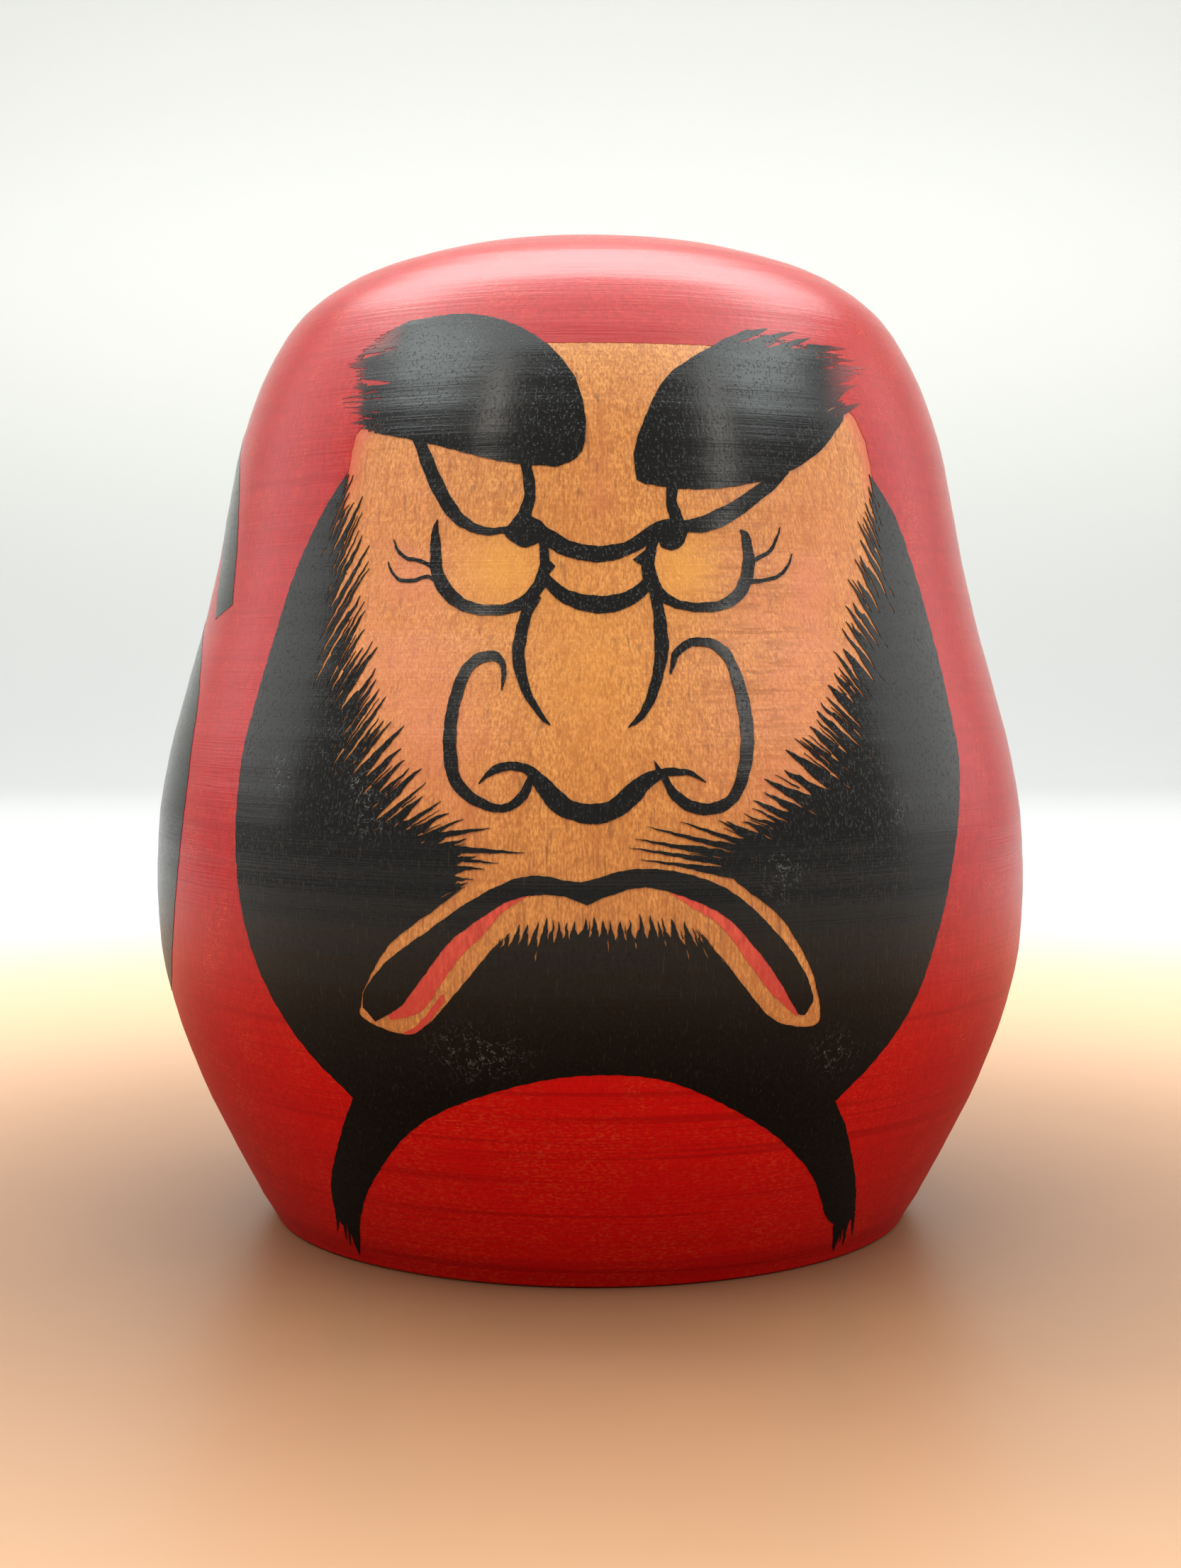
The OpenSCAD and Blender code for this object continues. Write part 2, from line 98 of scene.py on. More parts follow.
def spline(points, steps):
    """A curve with no sudden change of bend through the points."""
    p = np.array(points, float)
    gaps = np.linalg.norm(np.diff(p, axis=0), axis=1)
    knots = np.concatenate([[0], np.cumsum(gaps)])
    n = len(p)
    system = np.eye(n)
    right = np.zeros((n, 2))
    for i in range(1, n - 1):
        before, after = gaps[i - 1], gaps[i]
        system[i, i - 1 : i + 2] = before, 2 * (before + after), after
        right[i] = 6 * ((p[i + 1] - p[i]) / after - (p[i] - p[i - 1]) / before)
    bend = np.linalg.solve(system, right)
    t = np.linspace(0, knots[-1], steps)
    i = np.clip(np.searchsorted(knots, t, side="right") - 1, 0, n - 2)
    h = gaps[i][:, None]
    a = (knots[i + 1] - t)[:, None] / h
    b = 1 - a
    curve = (a**3 - a) * bend[i] + (b**3 - b) * bend[i + 1]
    return a * p[i] + b * p[i + 1] + curve * h * h / 6


PROFILE_STEPS = 4000
half = [(FOOT_TOP_R, FOOT_TOP)] + [(reach("robe_dye", z), z) for z in RING_HEIGHTS]
over_top = [(-r, z) for r, z in reversed(half[-3:])]
turned = spline(half + [(0, TALL)] + over_top, PROFILE_STEPS)
turned = turned[: int(np.argmax(turned[:, 0] <= 0))]
bevel = [(FOOT_R - FOOT_BEVEL * (1 - math.sin(a)), FOOT_BEVEL * (1 - math.cos(a)))
         for a in np.radians([0, 22.5, 45, 67.5])]
turned = np.vstack([bevel, [[FOOT_R, FOOT_BEVEL]], turned, [[0, turned[-1, 1]]]])
BEVEL = slice(1, len(bevel) + 1)
PROFILE_R, PROFILE_Z = turned[:, 0], turned[:, 1]
PROFILE_S = np.concatenate([[0], np.cumsum(np.hypot(np.diff(PROFILE_R), np.diff(PROFILE_Z)))])
SLOPE_R = np.gradient(PROFILE_R, PROFILE_S)
SLOPE_Z = np.gradient(PROFILE_Z, PROFILE_S)
S_END = float(PROFILE_S[-1])


def s_at(z):
    """Distance along the profile at a height."""
    return np.interp(z, PROFILE_Z, PROFILE_S)


def z_at(s):
    """Height at a distance along the profile."""
    return np.interp(s, PROFILE_S, PROFILE_Z)


def r_at(z):
    """Distance from the axis at a height."""
    return np.interp(z, PROFILE_Z, PROFILE_R)


def tool_marks(theta, s):
    """How far the hand-turned and sanded surface strays from the profile."""
    rounds = 0.012 * np.sin(s * 1.9 + 0.8 * np.sin(theta * 2)) + 0.02 * np.sin(s * 0.71 + 1)
    flats = 0.03 * np.sin(3 * theta + s * 0.11) + 0.018 * np.sin(7 * theta - s * 0.17 + 2)
    fade = np.clip((S_END - s) / 25, 0, 1)
    return (rounds + flats) * fade


def place(theta, s, lift):
    """Points over the wood, at angles from the face, distances along the profile and a lift."""
    out_r = np.interp(s, PROFILE_S, SLOPE_Z)
    out_z = -np.interp(s, PROFILE_S, SLOPE_R)
    off = lift - COAT + tool_marks(theta, s)
    r = np.maximum(np.interp(s, PROFILE_S, PROFILE_R) + out_r * off, 0)
    z = z_at(s) + out_z * off
    return np.stack([r * np.sin(theta), -r * np.cos(theta), z], axis=-1)


def outward(theta, s):
    """Unit normals of the turned surface."""
    step, turn_step = 0.02, 1e-3
    low, high = np.maximum(s - step, 0), np.minimum(s + step, S_END)
    along = place(theta, high, 0) - place(theta, low, 0)
    around = place(theta + turn_step, s, 0) - place(theta - turn_step, s, 0)
    n = np.cross(around, along)
    size = np.linalg.norm(n, axis=1, keepdims=True)
    flat = size[:, 0] < 1e-7
    n[flat] = (0, 0, 1)
    size[flat] = 1
    return n / size


# Flat sheets that the brushwork is drawn on, each with its way onto the surface.
SLEEVE_TURN = math.radians(-78)


def from_front(p):
    return np.arcsin(np.clip(p[:, 0] / r_at(p[:, 1]), -1, 1)), s_at(p[:, 1])


def from_side(p):
    theta, s = from_front(p)
    return theta + SLEEVE_TURN, s


def from_wrap(p):
    return p[:, 0] / BELLY_R, s_at(p[:, 1])


def wrapped(area, way):
    """An area drawn on a sheet, moved to the sheet that wraps right round."""

    def test(p):
        theta = p[:, 0] / BELLY_R - (SLEEVE_TURN if way is from_side else 0)
        theta = (theta + math.pi) % (2 * math.pi) - math.pi
        ahead = np.abs(theta) < math.pi / 2
        return ahead & area.test(np.stack([r_at(p[:, 1]) * np.sin(theta), p[:, 1]], axis=1))

    outlines = [np.stack([way(p)[0] * BELLY_R, p[:, 1]], axis=1) for p in area.outlines]
    return Area(outlines, test)


# ---- flat outlines and areas ----


def run(points, steps=6):
    """A smooth open run through the points, with any widths they carry."""
    p = np.array(points, float)
    p = np.vstack([p[0], p, p[-1]])
    made = []
    for i in range(1, len(p) - 2):
        a, b, c, d = p[i - 1 : i + 3]
        for t in np.arange(steps) / steps:
            curve = (2 * a - 5 * b + 4 * c - d) * t**2 + (3 * b - a - 3 * c + d) * t**3
            made.append(0.5 * (2 * b + (c - a) * t + curve))
    return np.array(made + [p[-2]])


def unsteady(p):
    """Shifts points by the small waver that ink and dye have along their edges."""
    x, z = p[:, 0], p[:, 1]
    dx = 0.030 * np.sin(2.9 * z + 1.3 * x) + 0.020 * np.sin(7.1 * z - 2.2 * x + 1)
    dz = 0.030 * np.sin(3.1 * x - 1.1 * z + 2) + 0.020 * np.sin(6.7 * x + 2.4 * z)
    return p + np.stack([dx, dz], axis=1)


def dense(outline, step=0.5, closed=True):
    """The outline with no edge longer than step."""
    p = np.array(outline, float)
    ends = np.vstack([p[1:], p[:1]]) if closed else p[1:]
    made = []
    for a, b in zip(p, ends):
        n = max(1, math.ceil(np.linalg.norm(b - a) / step))
        made.extend(a + (b - a) * k / n for k in range(n))
    if not closed:
        made.append(p[-1])
    return np.array(made)


def within(outline, points):
    """Which points an outline winds round."""
    low, high = outline.min(0), outline.max(0)
    near = np.nonzero(np.all((points >= low) & (points <= high), axis=1))[0]
    found = np.zeros(len(points), bool)
    if len(near) == 0:
        return found
    ax, az = outline.T
    bx, bz = np.roll(outline, -1, axis=0).T
    for some in np.array_split(near, 1 + len(near) * len(outline) // 4_000_000):
        x, z = points[some, 0:1], points[some, 1:2]
        side = (bx - ax) * (z - az) - (x - ax) * (bz - az)
        up = (az <= z) & (bz > z) & (side > 0)
        down = (az > z) & (bz <= z) & (side < 0)
        found[some] = up.sum(1) != down.sum(1)
    return found


class Area:
    """A flat area: the outlines that may bound it, and a test for the points inside."""

    def __init__(self, outlines, test):
        self.outlines = outlines
        self.test = test

    def __or__(self, other):
        return Area(self.outlines + other.outlines, lambda p: self.test(p) | other.test(p))

    def __sub__(self, other):
        return Area(self.outlines + other.outlines, lambda p: self.test(p) & ~other.test(p))


def filled(outlines):
    """The area inside any of the outlines."""
    loops = [unsteady(dense(o)) for o in outlines]

    def test(points):
        found = np.zeros(len(points), bool)
        for o in loops:
            found |= within(o, points)
        return found

    return Area(loops, test)


def brushed(points):
    """Outline of a brush stroke along [x, z, width] points."""
    p = run(points)
    way = np.gradient(p[:, :2], axis=0)
    way /= np.maximum(np.linalg.norm(way, axis=1, keepdims=True), TINY)
    across = np.stack([-way[:, 1], way[:, 0]], axis=1) * p[:, 2:] / 2
    return np.vstack([p[:, :2] + across, (p[:, :2] - across)[::-1]])


def inked(*marks):
    """The area of brush strokes, [x, z, width], and of closed outlines, [x, z]."""
    return filled([brushed(mark) if len(mark[0]) == 3 else mark for mark in marks])


def sliver(start, end, width, bow=0.0, both=False):
    """Outline of one hair: widest at its start, or in the middle if both ends are pointed."""
    t = np.linspace(0, 1, 9)[:, None]
    start, end = np.array(start, float), np.array(end, float)
    way = end - start
    across = np.array([-way[1], way[0]])
    across /= max(np.linalg.norm(way), TINY)
    middle = start + way * t + across * bow * np.sin(math.pi * t)
    half_width = np.sin(math.pi * t) if both else (1 - t) ** 0.75
    edge = across * width / 2 * half_width
    return np.vstack([middle + edge, (middle - edge)[::-1]])


# How unequal neighbouring hairs are, how many degrees they lean to and fro, and their bow.
UNEVEN = (0.4, 1.6)
SWAY = 2.0
BOW = 0.08
# A hair and a gap: how far it starts on the other side of the ink's edge, the least share of
# its full reach, and the share that the narrowest one keeps.
HAIR = (0.12, 0.45, 0.55)
GAP = (0.15, 0.35, 0.5)
# The loose hairs, and the fine slits past the end of a gap.
LOOSE_WIDTH = 0.16
SLIT_PAST = 0.25
SLIT_LENGTH = (0.6, 1.8)
SLIT_WIDTH = (0.08, 0.16)


def fringe(seed, line, angles, out, back, count, split=(0.38, 0.62), loose=0.25):
    """Hairs that leave an ink edge along a line, and the gaps that reach back between them.

    angles, out and back run evenly from the line's start to its end: the way the hairs
    point in degrees, how far they reach past the line, and how far the gaps reach back.
    split is the share of the line that the gaps take, and loose how often a fine hair
    lies in a gap or a fine slit goes on from its end.
    """
    random = np.random.default_rng(seed)
    path = run(line, 12)
    steps = np.linalg.norm(np.diff(path, axis=0), axis=1)
    so_far = np.concatenate([[0], np.cumsum(steps)]) / steps.sum()

    def along(t, values):
        return np.interp(t, np.linspace(0, 1, len(values)), values)

    def point(t):
        return np.array([np.interp(t, so_far, path[:, k]) for k in (0, 1)])

    def heading(t):
        a = math.radians(along(t, angles) + SWAY * math.sin(9 * t * math.pi + seed))
        return np.array([math.cos(a), math.sin(a)])

    def blade(low, high, reach, kind, forward):
        """The middle, direction, reach and outline of a hair, or of a gap that runs backward."""
        behind, least, narrowest = kind
        mid = (low + high) / 2
        way = heading(mid)
        tangent = point(high) - point(low)
        width = abs(tangent[0] * way[1] - tangent[1] * way[0])
        far = along(mid, reach) * random.uniform(least, 1.0) * min(1, narrowest + width)
        bow = random.normal(0, BOW)
        start = point(mid) - forward * way * behind
        return point(mid), way, far, sliver(start, point(mid) + forward * way * far, width, bow)

    shares = random.uniform(*UNEVEN, count)
    marks = np.concatenate([[0], np.cumsum(shares)]) / shares.sum()
    hairs, gaps = [], []
    for low, high in zip(marks, marks[1:]):
        edge = low + (high - low) * (1 - random.uniform(*split))
        _, _, far, hair = blade(low, edge, out, HAIR, 1)
        mid, way, deep, gap = blade(edge, high, back, GAP, -1)
        hairs.append(hair)
        gaps.append(gap)
        if random.random() < loose:
            start = mid - way * deep * random.uniform(0.2, 0.7)
            end = mid + way * far * random.uniform(0.3, 0.9)
            hairs.append(sliver(start, end, LOOSE_WIDTH))
        if random.random() < loose:
            tip = mid - way * (deep + SLIT_PAST)
            slit = tip - way * random.uniform(*SLIT_LENGTH)
            gaps.append(sliver(tip, slit, random.uniform(*SLIT_WIDTH), both=True))
    return filled(hairs), filled(gaps)


def strokes(hairs, gaps):
    """Single hairs from root to tip and gaps from mouth to end, [x, z, x, z, width, bow]."""
    def outlines(rows):
        return filled([sliver(row[:2], row[2:4], row[4], *row[5:]) for row in rows])

    return outlines(hairs), outlines(gaps)


def haired(base, *fringes):
    """An inked area with its fringes: gaps taken out first, then hairs laid on."""
    for _, gaps in fringes:
        base = base - gaps
    for hairs, _ in fringes:
        base = base | hairs
    return base


# ---- meshes ----


def set_fields(mesh, fields):
    """Puts numbers on the points of a mesh, for its material to read."""
    for name, values in fields.items():
        layer = mesh.attributes.new(name, "FLOAT", "POINT")
        layer.data.foreach_set("value", np.asarray(values, np.float32))


def mesh_object(name, vertices, faces, unit=TO_FRAME):
    mesh = bpy.data.meshes.new(name)
    mesh.from_pydata((vertices * unit).tolist(), [], faces)
    mesh.polygons.foreach_set("use_smooth", [True] * len(mesh.polygons))
    made = bpy.data.objects.new(name, mesh)
    bpy.context.scene.collection.objects.link(made)
    return made


SINK = 0.05


def shell(name, theta, s, triangles, lift, fields):
    """A thin closed coat over triangles on the turned surface, sunk a little into it."""
    n = len(theta)
    over = place(theta, s, lift)
    under = place(theta, s, -SINK)
    facing = outward(theta, s)
    edges = np.vstack([triangles[:, [0, 1]], triangles[:, [1, 2]], triangles[:, [2, 0]]])
    keys = {(a, b) for a, b in edges.tolist()}
    rim = [(a, b) for a, b in edges.tolist() if (b, a) not in keys]
    faces = triangles.tolist()
    faces += (triangles[:, ::-1] + n).tolist()
    faces += [(b, a, a + n, b + n) for a, b in rim]
    normals = [facing[triangles].reshape(-1, 3), -facing[triangles[:, ::-1]].reshape(-1, 3)]
    for a, b in rim:
        along = over[b] - over[a]
        side = np.cross(along, facing[a])
        side /= max(np.linalg.norm(side), TINY)
        normals.append(np.repeat(side[None], 4, axis=0))
    made = mesh_object(name, np.vstack([over, under]), faces)
    made.data.normals_split_custom_set(np.vstack(normals).tolist())
    set_fields(made.data, {k: np.concatenate([v, v]) for k, v in fields.items()})
    return made


def flat_mesh(area, spacing, extra=None):
    """Vertices and triangles that fill an area, with a grid of points inside it."""
    every = np.vstack(area.outlines)
    low, high = every.min(0), every.max(0)
    columns = np.arange(low[0], high[0], spacing)
    rows = np.arange(low[1], high[1], spacing)
    grid = np.array([(x + (j % 2) * spacing / 2, z) for j, z in enumerate(rows) for x in columns])
    grid = grid[area.test(grid)] if len(grid) else grid.reshape(0, 2)
    if extra is not None:
        grid = np.vstack([grid, extra])
    points, lines = [], []
    for outline in area.outlines:
        first = len(points)
        points.extend(map(tuple, outline))
        count = len(outline)
        lines.extend((first + k, first + (k + 1) % count) for k in range(count))
    points.extend(map(tuple, grid))
    made = delaunay_2d_cdt(points, lines, [], 0, 1e-5, False)
    vertices = np.array([tuple(v) for v in made[0]])
    triangles = np.array([tuple(f) for f in made[2]])
    a, b, c = (vertices[triangles[:, k]] for k in range(3))
    turn = (b[:, 0] - a[:, 0]) * (c[:, 1] - a[:, 1]) - (c[:, 0] - a[:, 0]) * (b[:, 1] - a[:, 1])
    triangles[turn < 0] = triangles[turn < 0][:, ::-1]
    keep = area.test((a + b + c) / 3) & (np.abs(turn) > TINY)
    triangles = triangles[keep]
    used, back = np.unique(triangles, return_inverse=True)
    return vertices[used], back.reshape(triangles.shape)


def coat(name, area, way, lift, wear_at=None):
    """One coat of ink or lip dye over an area drawn on a flat sheet."""
    vertices, triangles = flat_mesh(area, FINE_SPACING)
    theta, s = way(vertices)
    return shell(name, theta, s, triangles, lift, wear_at(vertices) if wear_at else {})


WRAP_U = math.pi * BELLY_R
WRAP_COLUMNS = np.linspace(-WRAP_U, WRAP_U, COLUMNS + 1)


def welded(vertices, triangles):
    """Joins the two upright edges of a sheet that wraps right round."""
    left = {round(z, 4): i for i, (u, z) in enumerate(vertices) if abs(u + WRAP_U) < SAME}
    swap = np.arange(len(vertices))
    for i, (u, z) in enumerate(vertices):
        if abs(u - WRAP_U) < SAME:
            swap[i] = left[round(z, 4)]
    return swap[triangles]


def belt(low, high, low_rows=()):
    """The whole way round between two heights, as an area on the wrapping sheet."""
    rise = np.linspace(low, high, max(2, int((high - low) / SPACING)))
    rise = np.concatenate([[low], low_rows, rise[1:]])
    outline = [(u, low) for u in WRAP_COLUMNS] + [(WRAP_U, z) for z in rise[1:-1]]
    outline += [(u, high) for u in WRAP_COLUMNS[::-1]] + [(-WRAP_U, z) for z in rise[-2:0:-1]]

    def test(p):
        return (np.abs(p[:, 0]) < WRAP_U) & (p[:, 1] > low) & (p[:, 1] < high)

    return Area([np.array(outline)], test)


SHARP = math.radians(30)


def lathe(name, rings, close_first, close_last):
    """A turned piece from rings of points, with single points on the axis at its ends."""
    count = len(rings[0])
    around = [(k, (k + 1) % count) for k in range(count)]
    starts = [i * count for i in range(len(rings))]
    faces = [(i + k, i + m, j + m, j + k) for i, j in zip(starts, starts[1:]) for k, m in around]
    total, last = len(rings) * count, starts[-1]
    faces += [(total, m, k) for k, m in around]
    faces += [(total + 1, last + k, last + m) for k, m in around]
    made = mesh_object(name, np.vstack([*rings, [close_first], [close_last]]), faces)
    made.data.set_sharp_from_angle(angle=SHARP)
    return made


# ---- outlines of the brushwork, [x, z] or [x, z, width] on the front ----

HOOD_Z = 102.6
BROW_LEFT_EDGE = run([
    [-20, 106], [-14, 106.4], [-9, 105.2], [-4.8, HOOD_Z], [-1.8, 99], [-0.6, 95], [-0.6, 92],
    [-1.0, 90.6], [-2.2, 89.6]])
BROW_LEFT_UNDER = run([[-3.5, 89.1], [-9.7, 89.8], [-17.6, 92], [-22.6, 93.2]])
BROW_LEFT_LINE = [
    [-23.2, 93.4], [-24.6, 94.4], [-25, 96], [-25, 98], [-25.4, 99.6], [-25.6, 101.4], [-25, 102.8],
    [-23.8, 104], [-21.6, 105.3]]
BROW_LEFT_HAIRS = [
    [-22.6, 102.9, -26, 102.5, 0.5], [-23.6, 102, -27, 101.6, 0.4], [-24, 101.4, -26.9, 101.3, 1.3],
    [-24.6, 98.7, -26.3, 98.8, 0.9], [-24.6, 97.8, -27.6, 97.7, 0.25],
    [-24.6, 97.1, -27.5, 97.2, 0.2], [-24.6, 96.4, -27.2, 96.6, 0.2], [-24.4, 95.7, -26.5, 96, 0.3],
    [-24.2, 94.7, -26.4, 94.8, 0.5], [-22, 93.8, -25.4, 94.1, 0.3]]
BROW_LEFT_GAPS = [
    [-26.4, 102, -21, 103, 0.62, 0.03], [-26.9, 101.6, -22.5, 102.2, 0.28],
    [-26.4, 100.8, -24.1, 100.9, 0.4], [-26.1, 100.1, -24.6, 100.2, 0.3],
    [-26.6, 99.4, -21.5, 98.9, 1.1, -0.02], [-26.4, 98, -22.7, 98, 0.24],
    [-26.2, 97.3, -23.8, 97.2, 0.3], [-26.3, 95.2, -23.4, 95.1, 0.4],
    [-25, 93.95, -22.8, 93.75, 0.4]]
BROW_RIGHT_EDGE = run([
    [4.9, 87.7], [4.6, 90.5], [5.6, 94], [8.2, 99], [13.2, HOOD_Z], [15.4, 103.9], [17.2, 104.7]])
BROW_RIGHT_LINE = [
    [17.4, 104.5], [19.4, 103.9], [21.8, 103.4], [24.5, 103.3], [26.6, 102.8], [27.5, 101.7],
    [28.3, 100.6], [28, 99.2], [27.6, 98], [28, 96.2]]
BROW_RIGHT_HAIRS = [
    [16.8, 104, 19.4, 105, 1], [18.4, 103.4, 22.6, 105, 0.9, 0.04],
    [21, 102.9, 24.3, 104.4, 0.9, 0.04], [24, 103.1, 28.7, 103.7, 1, 0.06],
    [25.4, 102.5, 28.3, 102.9, 0.6], [26.6, 102, 29.8, 102.5, 0.5],
    [27, 101.1, 31.3, 101.8, 0.9, -0.04], [27.8, 100.4, 30.6, 101.1, 0.6],
    [27.4, 98.3, 29.9, 99.6, 0.6], [27.2, 95.9, 30.1, 97.4, 1.1]]
BROW_RIGHT_GAPS = [
    [20.3, 104.8, 15.9, 103, 0.6, -0.03], [22.7, 104.3, 19.1, 102.7, 0.8],
    [24.6, 103.9, 21.6, 102.8, 0.8], [28.4, 103.3, 25.2, 102.8, 0.4],
    [28.6, 102.7, 24.3, 102.1, 0.4], [30.7, 102.1, 25.5, 100.9, 0.7],
    [30.6, 101.4, 28, 100.8, 0.35], [30.3, 100.5, 27.5, 97.9, 1.5], [29.7, 98.7, 27.5, 96.5, 0.9]]
BROW_RIGHT_UNDER = run([
    [27.9, 95.2], [25.4, 91.9], [22.9, 89.9], [20.4, 88.6], [17.5, 87.7], [14, 87.0], [10, 86.8],
    [5.8, 87.3]])

LID_LEFT = [
    [-18.8, 93.4, 1.2], [-17, 88.8, 1.5], [-15.5, 85.8, 1.5], [-13.8, 83.6, 1.3],
    [-11.4, 82.4, 0.9], [-9.2, 82.4, 0.7], [-7.5, 82.6, 1]]
INNER_LEFT = [
    [-7, 90.4, 1.1], [-6.5, 87.6, 1.2], [-6.4, 86, 1.2], [-6.9, 84.2, 1.4], [-7.6, 82.8, 1.8]]
KNOT_LEFT = run([
    [-9.2, 82.2], [-7.8, 83.8], [-6.3, 83.9], [-4.9, 83], [-4.6, 82], [-5.6, 81], [-7, 80.6],
    [-8.4, 81.3], [-9.2, 82.2]])
LID_RIGHT = [
    [9, 82.8, 1.1], [11.5, 83, 1.6], [13, 83.5, 1.9], [15, 84.5, 1.8], [17, 85.9, 1.6],
    [19.4, 87.8, 1.5], [20.8, 89.4, 1.5]]
INNER_RIGHT = [[8.8, 87.6, 1.4], [8.5, 85.5, 1.1], [8.9, 84.2, 1.3], [9.2, 83, 1.5]]
KNOT_RIGHT = run([
    [6.8, 82.8], [8, 83.6], [9.3, 83.5], [10.2, 82.8], [10, 81.4], [9.3, 80.6], [8.4, 80.3],
    [7.4, 80.8], [6.8, 82.8]])

POUCH_LEFT = [
    [-16.3, 83.7, 0.1], [-16.5, 82, 0.9], [-16.4, 80, 1.2], [-16.3, 78.3, 1.3], [-15.5, 76.5, 1.5],
    [-14.1, 75, 1.4], [-12.3, 74.2, 1.2], [-10.4, 74, 1.1], [-8.4, 74.2, 1.1], [-6.6, 75.1, 1.3],
    [-5.4, 76.6, 1.3], [-4.8, 78.6, 1.1], [-4.9, 80.4, 0.9], [-5.2, 81.6, 0.8]]
SPUR_LEFT = [[-4.8, 79.4], [-4, 79], [-3.7, 78.6], [-4.5, 77.5]]
POUCH_RIGHT = [
    [6.8, 81.6, 0.9], [6.1, 79.6, 1.3], [6.1, 78, 1.5], [6.7, 76.4, 1.4], [7.9, 75.2, 1.1],
    [9.6, 74.5, 0.9], [11.7, 74.3, 1], [13.9, 74.6, 1.1], [15.5, 75.6, 1.3], [16.4, 77.1, 1.4],
    [16.8, 79, 1.3], [16.7, 80.7, 1.1], [16.4, 82, 0.8], [15.9, 82.6, 0.2]]
SPUR_RIGHT = [[6.6, 80.9], [5.4, 78.6], [4.4, 79.3]]

LASHES_LEFT = [
    [[-21.1, 81.7, 0.1], [-20.6, 80.5, 0.3], [-19.7, 79.7, 0.4], [-18.6, 79.4, 0.4],
     [-17.8, 79.2, 0.4], [-16.6, 78.6, 0.5]],
    [[-21.7, 79.3, 0.1], [-21.1, 78, 0.3], [-20.2, 77.3, 0.4], [-18.9, 77.2, 0.4],
     [-17.4, 77.6, 0.4], [-16, 77, 0.5]]]
LASHES_RIGHT = [
    [[20.3, 83, 0.1], [19.8, 81.5, 0.3], [18.9, 80.2, 0.4], [17, 79.2, 0.5]],
    [[21.6, 80.2, 0.1], [21.1, 78.8, 0.3], [19.8, 77.6, 0.4], [18.6, 77.3, 0.4],
     [16.6, 77, 0.5]]]

BRIDGE_UPPER = [
    [-6.2, 82.6, 1.8], [-4, 81.3, 1.8], [-2.3, 80.4, 1.7], [0, 79.9, 1.7], [1.6, 79.9, 1.7],
    [3.4, 80.3, 1.5], [4.9, 81, 1.4], [6.3, 82, 1.6], [8, 82.8, 1.6]]
BRIDGE_LOWER = [
    [-4.9, 77.4, 1.2], [-3.2, 75.8, 1.4], [-1.6, 75, 1.6], [0.3, 74.6, 1.8], [2, 74.6, 1.8],
    [3.8, 75.1, 1.6], [5.2, 76, 1.4], [6.3, 77.2, 1.2]]
NOSE_SIDE_LEFT = [
    [-5.7, 75.6, 1.3], [-6.7, 73.6, 1.2], [-7.2, 71.6, 1.3], [-7.5, 69.4, 1.3], [-7.2, 67.4, 1.2],
    [-6.6, 65.5, 0.9], [-5.6, 63.8, 0.7], [-4.7, 62.6, 0.4], [-4.1, 62.1, 0.1]]
NOSE_SIDE_RIGHT = [
    [6.6, 76.4, 1.2], [7.1, 74, 1.2], [7.3, 72, 1.4], [7.4, 70, 1.5], [7.1, 67.8, 1.2],
    [6.5, 65.6, 1.1], [5.8, 63.9, 0.9], [4.8, 62.6, 0.6], [3.9, 61.9, 0.1]]
NOSTRIL_LEFT = [
    [-9.2, 65.6, 0.1], [-9, 67.2, 0.5], [-9.2, 68.6, 0.7], [-10.2, 69.2, 1.1], [-11.7, 68.9, 1.1],
    [-12.9, 67.8, 1.2], [-13.7, 66, 1.3], [-14.4, 63.3, 1.3], [-14.6, 60.4, 1.4], [-14.4, 58, 1.4],
    [-13.9, 56.3, 1.3], [-12.5, 54.8, 1.2], [-10.7, 53.9, 1], [-9.3, 53.6, 0.8], [-8, 54, 0.9],
    [-6.9, 55, 1], [-6, 57, 0.6]]
NOSTRIL_RIGHT = [
    [8.3, 67.4, 0.2], [8.6, 68.6, 0.6], [9, 69.6, 0.8], [10.2, 70.5, 0.9], [11.5, 70.7, 0.9],
    [12.7, 70.5, 1], [13.9, 69.7, 1.1], [14.8, 68.3, 1.1], [15.5, 66.2, 1.3], [16, 64, 1.4],
    [16.3, 61.5, 1.4], [16.2, 59, 1.4], [15.7, 56.7, 1.3], [15, 55, 1.2], [13.8, 53.9, 1.2],
    [12.2, 53.5, 1.2], [10.6, 53.7, 1.2], [9.2, 54.5, 1.1], [8.2, 55.6, 0.9], [7.4, 57.2, 0.6]]
NOSE_TIP = [
    [-11.5, 56.1, 0.1], [-10.5, 57.1, 0.6], [-9.2, 57.8, 0.9], [-7.8, 57.9, 0.9], [-6.5, 57.6, 1],
    [-5.5, 56.7, 1.4], [-4.4, 55.4, 1.9], [-3.1, 54.1, 2.1], [-1.7, 53.4, 1.9], [0, 53.1, 2.1],
    [1.7, 53.3, 2], [3, 54, 2], [4.3, 55.1, 2.1], [5.4, 56.2, 1.7], [6.6, 56.9, 1.2],
    [8, 57.3, 0.9], [9.3, 57.3, 0.7], [10.5, 57.1, 0.5], [11.9, 56.2, 0.1]]
NOSE_SPUR = [[6.5, 58.5], [7.7, 57.2], [6.8, 57]]

